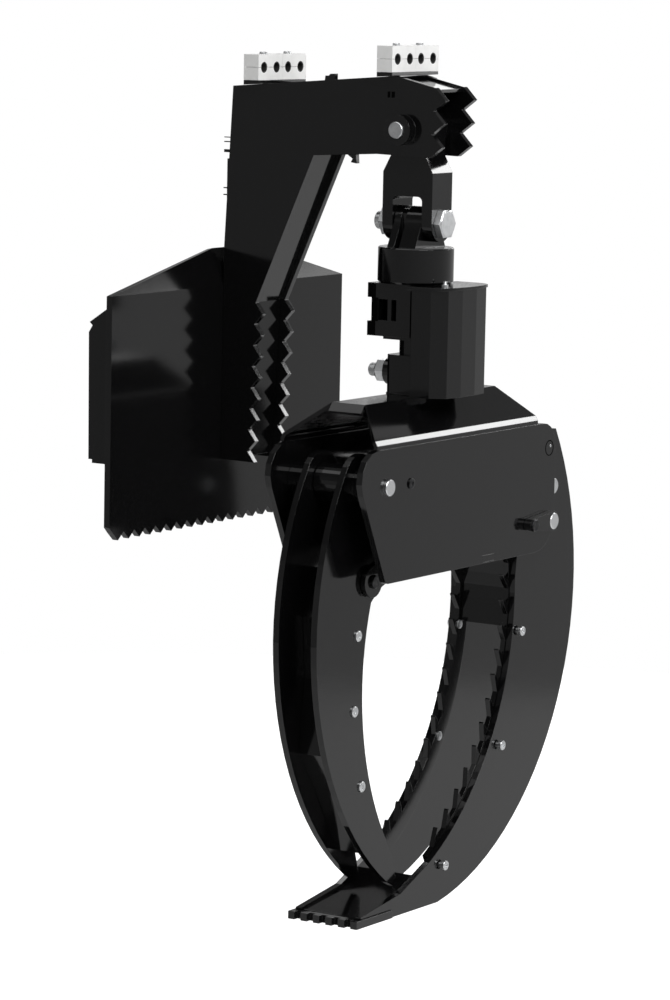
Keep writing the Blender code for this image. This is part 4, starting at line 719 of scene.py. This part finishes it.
def make_clamp_details():
    """A low bolt on each clamp and a ribbed grip in each of its hose bores."""
    profile = [(GRIP_INNER, 0), (GRIP_OUTER, 0), (GRIP_OUTER, GRIP_LENGTH), (GRIP_INNER, GRIP_LENGTH)]
    for rib in reversed(range(RIB_COUNT)):
        start = rib * RIB_PITCH
        profile += [(RIB_INNER, start + RIB_STOP), (RIB_INNER, start + RIB_START),
                    (GRIP_INNER, start + RIB_FOOT)]
    profile.append((GRIP_INNER, 0))
    bolts = bmesh.new()
    grips = bmesh.new()
    for x, top, split in CLAMP_ROWS:
        for side in (-1, 1):
            add_round_head(bolts, (x * MM, side * CLAMP_Y, top * MM), (0, 0, 1), *CLAMP_HEAD)
            for hose in (-1, 1):
                place = (x * MM - GRIP_LENGTH / 2, side * CLAMP_Y + hose * HOSE_OFFSET, split * MM)
                add_turned(grips, profile, place, (1, 0, 0))
    finish_piece("clamp_bolts", bolts, "zinc_steel", "carrier")
    join_close(grips)
    finish_piece("hose_grips", grips, "dark_rubber", "carrier")


PLUG_HEAD = (8 * MM, 3 * MM)
# name: body, place of the thread's start, radius, length, pitch
BOLT_THREADS = {
    "cross_bolt_thread": ("link", (275.5 * MM, 0, CROSS_Z), 13.5 * MM, 11 * MM, 1.8 * MM),
    "lock_bolt_thread": ("head", (270 * MM, 0, 37 * MM), 10 * MM, 13 * MM, 1.5 * MM),
}


def make_plugs():
    """The blind ends of the lock bolts in the plates across from their flags."""
    mesh = bmesh.new()
    near = (HEAD_X + HEAD_HALF, LEFT_PIVOT[0] + LOCK_OFFSET, LEFT_PIVOT[1])
    far = (HEAD_X - HEAD_HALF, RIGHT_PIVOT[0] - LOCK_OFFSET, RIGHT_PIVOT[1])
    add_round_head(mesh, near, (1, 0, 0), *PLUG_HEAD)
    add_round_head(mesh, far, (-1, 0, 0), *PLUG_HEAD)
    finish_piece("head_plugs", mesh, "dark_steel", "head")


def make_threads():
    """The threaded ends of the cross bolt and the socket's lock bolt, past their nuts."""
    for name, (body, place, radius, length, pitch) in BOLT_THREADS.items():
        mesh = bmesh.new()
        add_thread(mesh, place, (-1, 0, 0), radius, length, pitch)
        finish_piece(name, mesh, "zinc_steel", body)


# Boom details, in mm along X and Z

NOSE = ((-12, 75.5), (53, 61.5), (53, 56.5), (-12, 70.5))
LOWER_BLOCK = ((232, 365), (249, 365), (250, 351), (240, 352.5), (243, 358))
UPPER_BLOCK = ((190, 473), (208, 474.5), (208, 484.5), (200, 484), (197, 481), (191, 481))
BLOCK_START, BLOCK_WIDTH = -44.4 * MM, 8.8 * MM
LUGS = (
    ((6, 380), (20, 380), (20, 381.4), (6, 381.4)),
    ((6, 373), (20, 373), (20, 374.6), (6, 374.6)),
    ((6, 357.5), (18, 357.5), (18, 362), (6, 362)),
    ((12.5, 288.5), (18, 288.5), (18, 348), (12.5, 348)),
    ((6, 291.5), (14, 291.5), (14, 293.2), (6, 293.2)),
    ((6, 302), (14, 302), (14, 303.7), (6, 303.7)),
)
LUG_STARTS, LUG_WIDTH = (-43 * MM, 39 * MM), 4 * MM
# Slots in the arm's side, drawn as thin near-black patches of painted shade
SLOT_SHADE_OUTLINES = (
    ((304, 452), (308.5, 452.5), (308.5, 461.5), (304, 461)),
    ((311, 452), (316.5, 452.5), (316.5, 461.5), (311, 461)),
)
SLOT_SHADE_START, SLOT_SHADE_DEPTH = -45.4 * MM, 0.6 * MM


def make_boom_details():
    """The nose cover, the small welded blocks on the arm, near-black patches of painted shade where the arm
    has slots, and the lugs behind the column.
    """
    mesh = bmesh.new()
    nose = [(PIN_X + x, PIN_Z + z) for x, z in in_metres(*NOSE)]
    add_prism(mesh, nose, "Y", -BOOM_INNER, 2 * BOOM_INNER)
    finish_piece("nose_cover", mesh, "black_paint", "carrier")
    mesh = bmesh.new()
    for outline in SLOT_SHADE_OUTLINES:
        add_prism(mesh, in_metres(*outline), "Y", SLOT_SHADE_START, SLOT_SHADE_DEPTH)
    finish_piece("boom_slot_shade", mesh, "painted_shade_black", "carrier")
    mesh = bmesh.new()
    for outline in (LOWER_BLOCK, UPPER_BLOCK):
        add_prism(mesh, in_metres(*outline), "Y", BLOCK_START, BLOCK_WIDTH)
    for outline in LUGS:
        for start in LUG_STARTS:
            add_prism(mesh, in_metres(*outline), "Y", start, LUG_WIDTH)
    finish_piece("boom_blocks", mesh, "black_paint", "carrier")


# Guard

FITTING = in_metres((0, -0.5), (5.2, -0.5), (5.2, 2.6), (3.4, 3), (2.7, 4.6), (3.5, 6), (3.2, 7.4),
                    (1.4, 8), (0, 8))
FITTING_PLACE = (402.5 * MM, -29 * MM, 173.6 * MM)
FITTING_SIDES = 24
GUARD_CAP = in_metres((28, 72), (70, 72), (84, 67), (93, 58), (98, 42), (99.6, 22))
CAP_FOOT, CAP_THICKNESS = 169.2 * MM, 4.4 * MM


def make_guard_details():
    """A grease fitting on the guard, and its rounded top plate, which stands a little past its wall."""
    mesh = bmesh.new()
    add_turned(mesh, FITTING, FITTING_PLACE, (0, 0, 1), FITTING_SIDES)
    finish_piece("guard_fitting", mesh, "zinc_steel", "head")
    mesh = bmesh.new()
    near = [(PIN_X + x, -y) for x, y in GUARD_CAP]
    add_prism(mesh, near + [(x, -y) for x, y in reversed(near)], "Z", CAP_FOOT, CAP_THICKNESS)
    finish_piece("guard_cap", mesh, "black_paint", "head")


# Strips of painted shade on the swivel, as left, right, foot and top, and along the shaft's socket, in mm

SWIVEL_SHADE_STRIPS = ((278.2, 292, 151.6, 173.6), (278.2, 292, 93.8, 115.8), (285.3, 296.6, 115.8, 151.6))
SHADE_STRIP_STARTS, SHADE_STRIP_DEPTH = (-48.6 * MM, 47.7 * MM), 0.9 * MM
SOCKET_SHADE_STRIP = in_metres((300.6, -24.2), (307.8, -31.4), (308.2, -31), (301, -23.8))
SOCKET_FOOT, SOCKET_HEIGHT = 6 * MM, 58.8 * MM


def make_swivel_shade():
    # Painted shade: thin near-black sheets over the swivel's flanges and recess and the socket's corner,
    # where these lie in shadow
    mesh = bmesh.new()
    for left, right, foot, top in SWIVEL_SHADE_STRIPS:
        outline = in_metres((left, foot), (right, foot), (right, top), (left, top))
        for start in SHADE_STRIP_STARTS:
            add_prism(mesh, outline, "Y", start, SHADE_STRIP_DEPTH)
    for side in (1, -1):
        outline = [(x, side * y) for x, y in SOCKET_SHADE_STRIP]
        add_prism(mesh, outline[::side], "Z", SOCKET_FOOT, SOCKET_HEIGHT)
    finish_piece("swivel_painted_shade", mesh, "painted_shade_black", "head")


# Sight hole of the near head plate, drawn as a ring of painted shade

HOLE_FACE = HEAD_X + HEAD_HALF
HOLE_PLACE = (HOLE_FACE, 261 * MM, -94 * MM)
HOLE_SHADE_RING = in_metres((10.6, -0.3), (12.6, -0.3), (12.4, 0.35), (10.8, 0.35), (10.6, -0.3))
SHADE_RING_SIDES = 48
STUD_PLACE = (HOLE_FACE, 264 * MM, -91 * MM)
STUD = in_metres((0, -0.3), (2.4, -0.3), (2.2, 0.5), (0, 0.7))
STUD_SIDES = 20


def make_sight_hole():
    """A near-black ring of painted shade on the near plate for the sight hole's wall, with the pin's end
    glinting in it.
    """
    mesh = bmesh.new()
    add_turned(mesh, HOLE_SHADE_RING, HOLE_PLACE, (1, 0, 0), SHADE_RING_SIDES)
    join_close(mesh)
    finish_piece("sight_hole_shade_ring", mesh, "painted_shade_black", "head")
    mesh = bmesh.new()
    add_turned(mesh, STUD, STUD_PLACE, (1, 0, 0), STUD_SIDES)
    finish_piece("sight_hole_stud", mesh, "zinc_steel", "head")


# Weld beads

BEAD_PITCH = 3.2 * MM
BEAD_SIDES = 8
BEAD_END, BEAD_TAPER = 0.35, 6
BEAD_RIPPLE, RIPPLE_STEPS, LEAST_STEPS = 0.16, 3, 4
RECEIVER_X, RECEIVER_FOOT, RECEIVER_TOP = -1 * MM, -98 * MM, 110 * MM
RECEIVER_SIDES = (-301 * MM, 267 * MM)
RECEIVER_BEAD, SOCKET_BEAD = 2.6 * MM, 2.2 * MM
SOCKET_HALF, SOCKET_CORNER = 31 * MM, 24 * MM
SOCKET_WELD_Z = HEAD_Z + 59.4 * MM


def add_bead(mesh, start, stop, radius):
    """A rippled weld bead along a straight joint."""
    start, stop = Vector(start), Vector(stop)
    way = (stop - start).normalized()
    turn = way.to_track_quat("Z", "Y").to_matrix()
    steps = max(LEAST_STEPS, round(RIPPLE_STEPS * (stop - start).length / BEAD_PITCH))
    rings = []
    for step in range(steps + 1):
        share = step / steps
        taper = min(1.0, BEAD_TAPER * share + BEAD_END, BEAD_TAPER * (1 - share) + BEAD_END)
        ripple = 1 + BEAD_RIPPLE * sin(2 * pi * step / RIPPLE_STEPS)
        centre = start.lerp(stop, share)
        ring = []
        for side in range(BEAD_SIDES):
            angle = 2 * pi * side / BEAD_SIDES
            spot = turn @ Vector((cos(angle), sin(angle), 0)) * radius * taper * ripple
            ring.append(mesh.verts.new(centre + spot))
        rings.append(ring)
    for one, two in zip(rings, rings[1:]):
        for side in range(BEAD_SIDES):
            following = (side + 1) % BEAD_SIDES
            mesh.faces.new((one[side], two[side], two[following], one[following]))
    mesh.faces.new(rings[0])
    mesh.faces.new(rings[-1][::-1])


def make_welds():
    """Beads at the receiver's sides, and round the foot of the shaft's socket."""
    mesh = bmesh.new()
    for y in RECEIVER_SIDES:
        add_bead(mesh, (RECEIVER_X, y, RECEIVER_FOOT), (RECEIVER_X, y, RECEIVER_TOP), RECEIVER_BEAD)
    finish_piece("carrier_welds", mesh, "weld_paint", "carrier")
    mesh = bmesh.new()
    half, corner = SOCKET_HALF, SOCKET_CORNER
    ring = [(half, -corner), (half, corner), (corner, half), (-corner, half),
            (-half, corner), (-half, -corner), (-corner, -half), (corner, -half)]
    spots = [(PIN_X + x, y, SOCKET_WELD_Z) for x, y in ring]
    for one, two in zip(spots, spots[1:] + spots[:1]):
        add_bead(mesh, one, two, SOCKET_BEAD)
    finish_piece("head_welds", mesh, "weld_paint", "head")


make_camera()
make_world()
low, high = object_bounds()
make_lights((low + high) / 2)
make_floor(low.z - FLOOR_DROP)
dress_cad()
make_roof()
make_housing()
make_link()
make_strip_bolts()
make_clamp_details()
make_plugs()
make_threads()
make_boom_details()
make_guard_details()
make_swivel_shade()
make_sight_hole()
make_welds()

bpy.context.scene.view_settings.view_transform = "Standard"
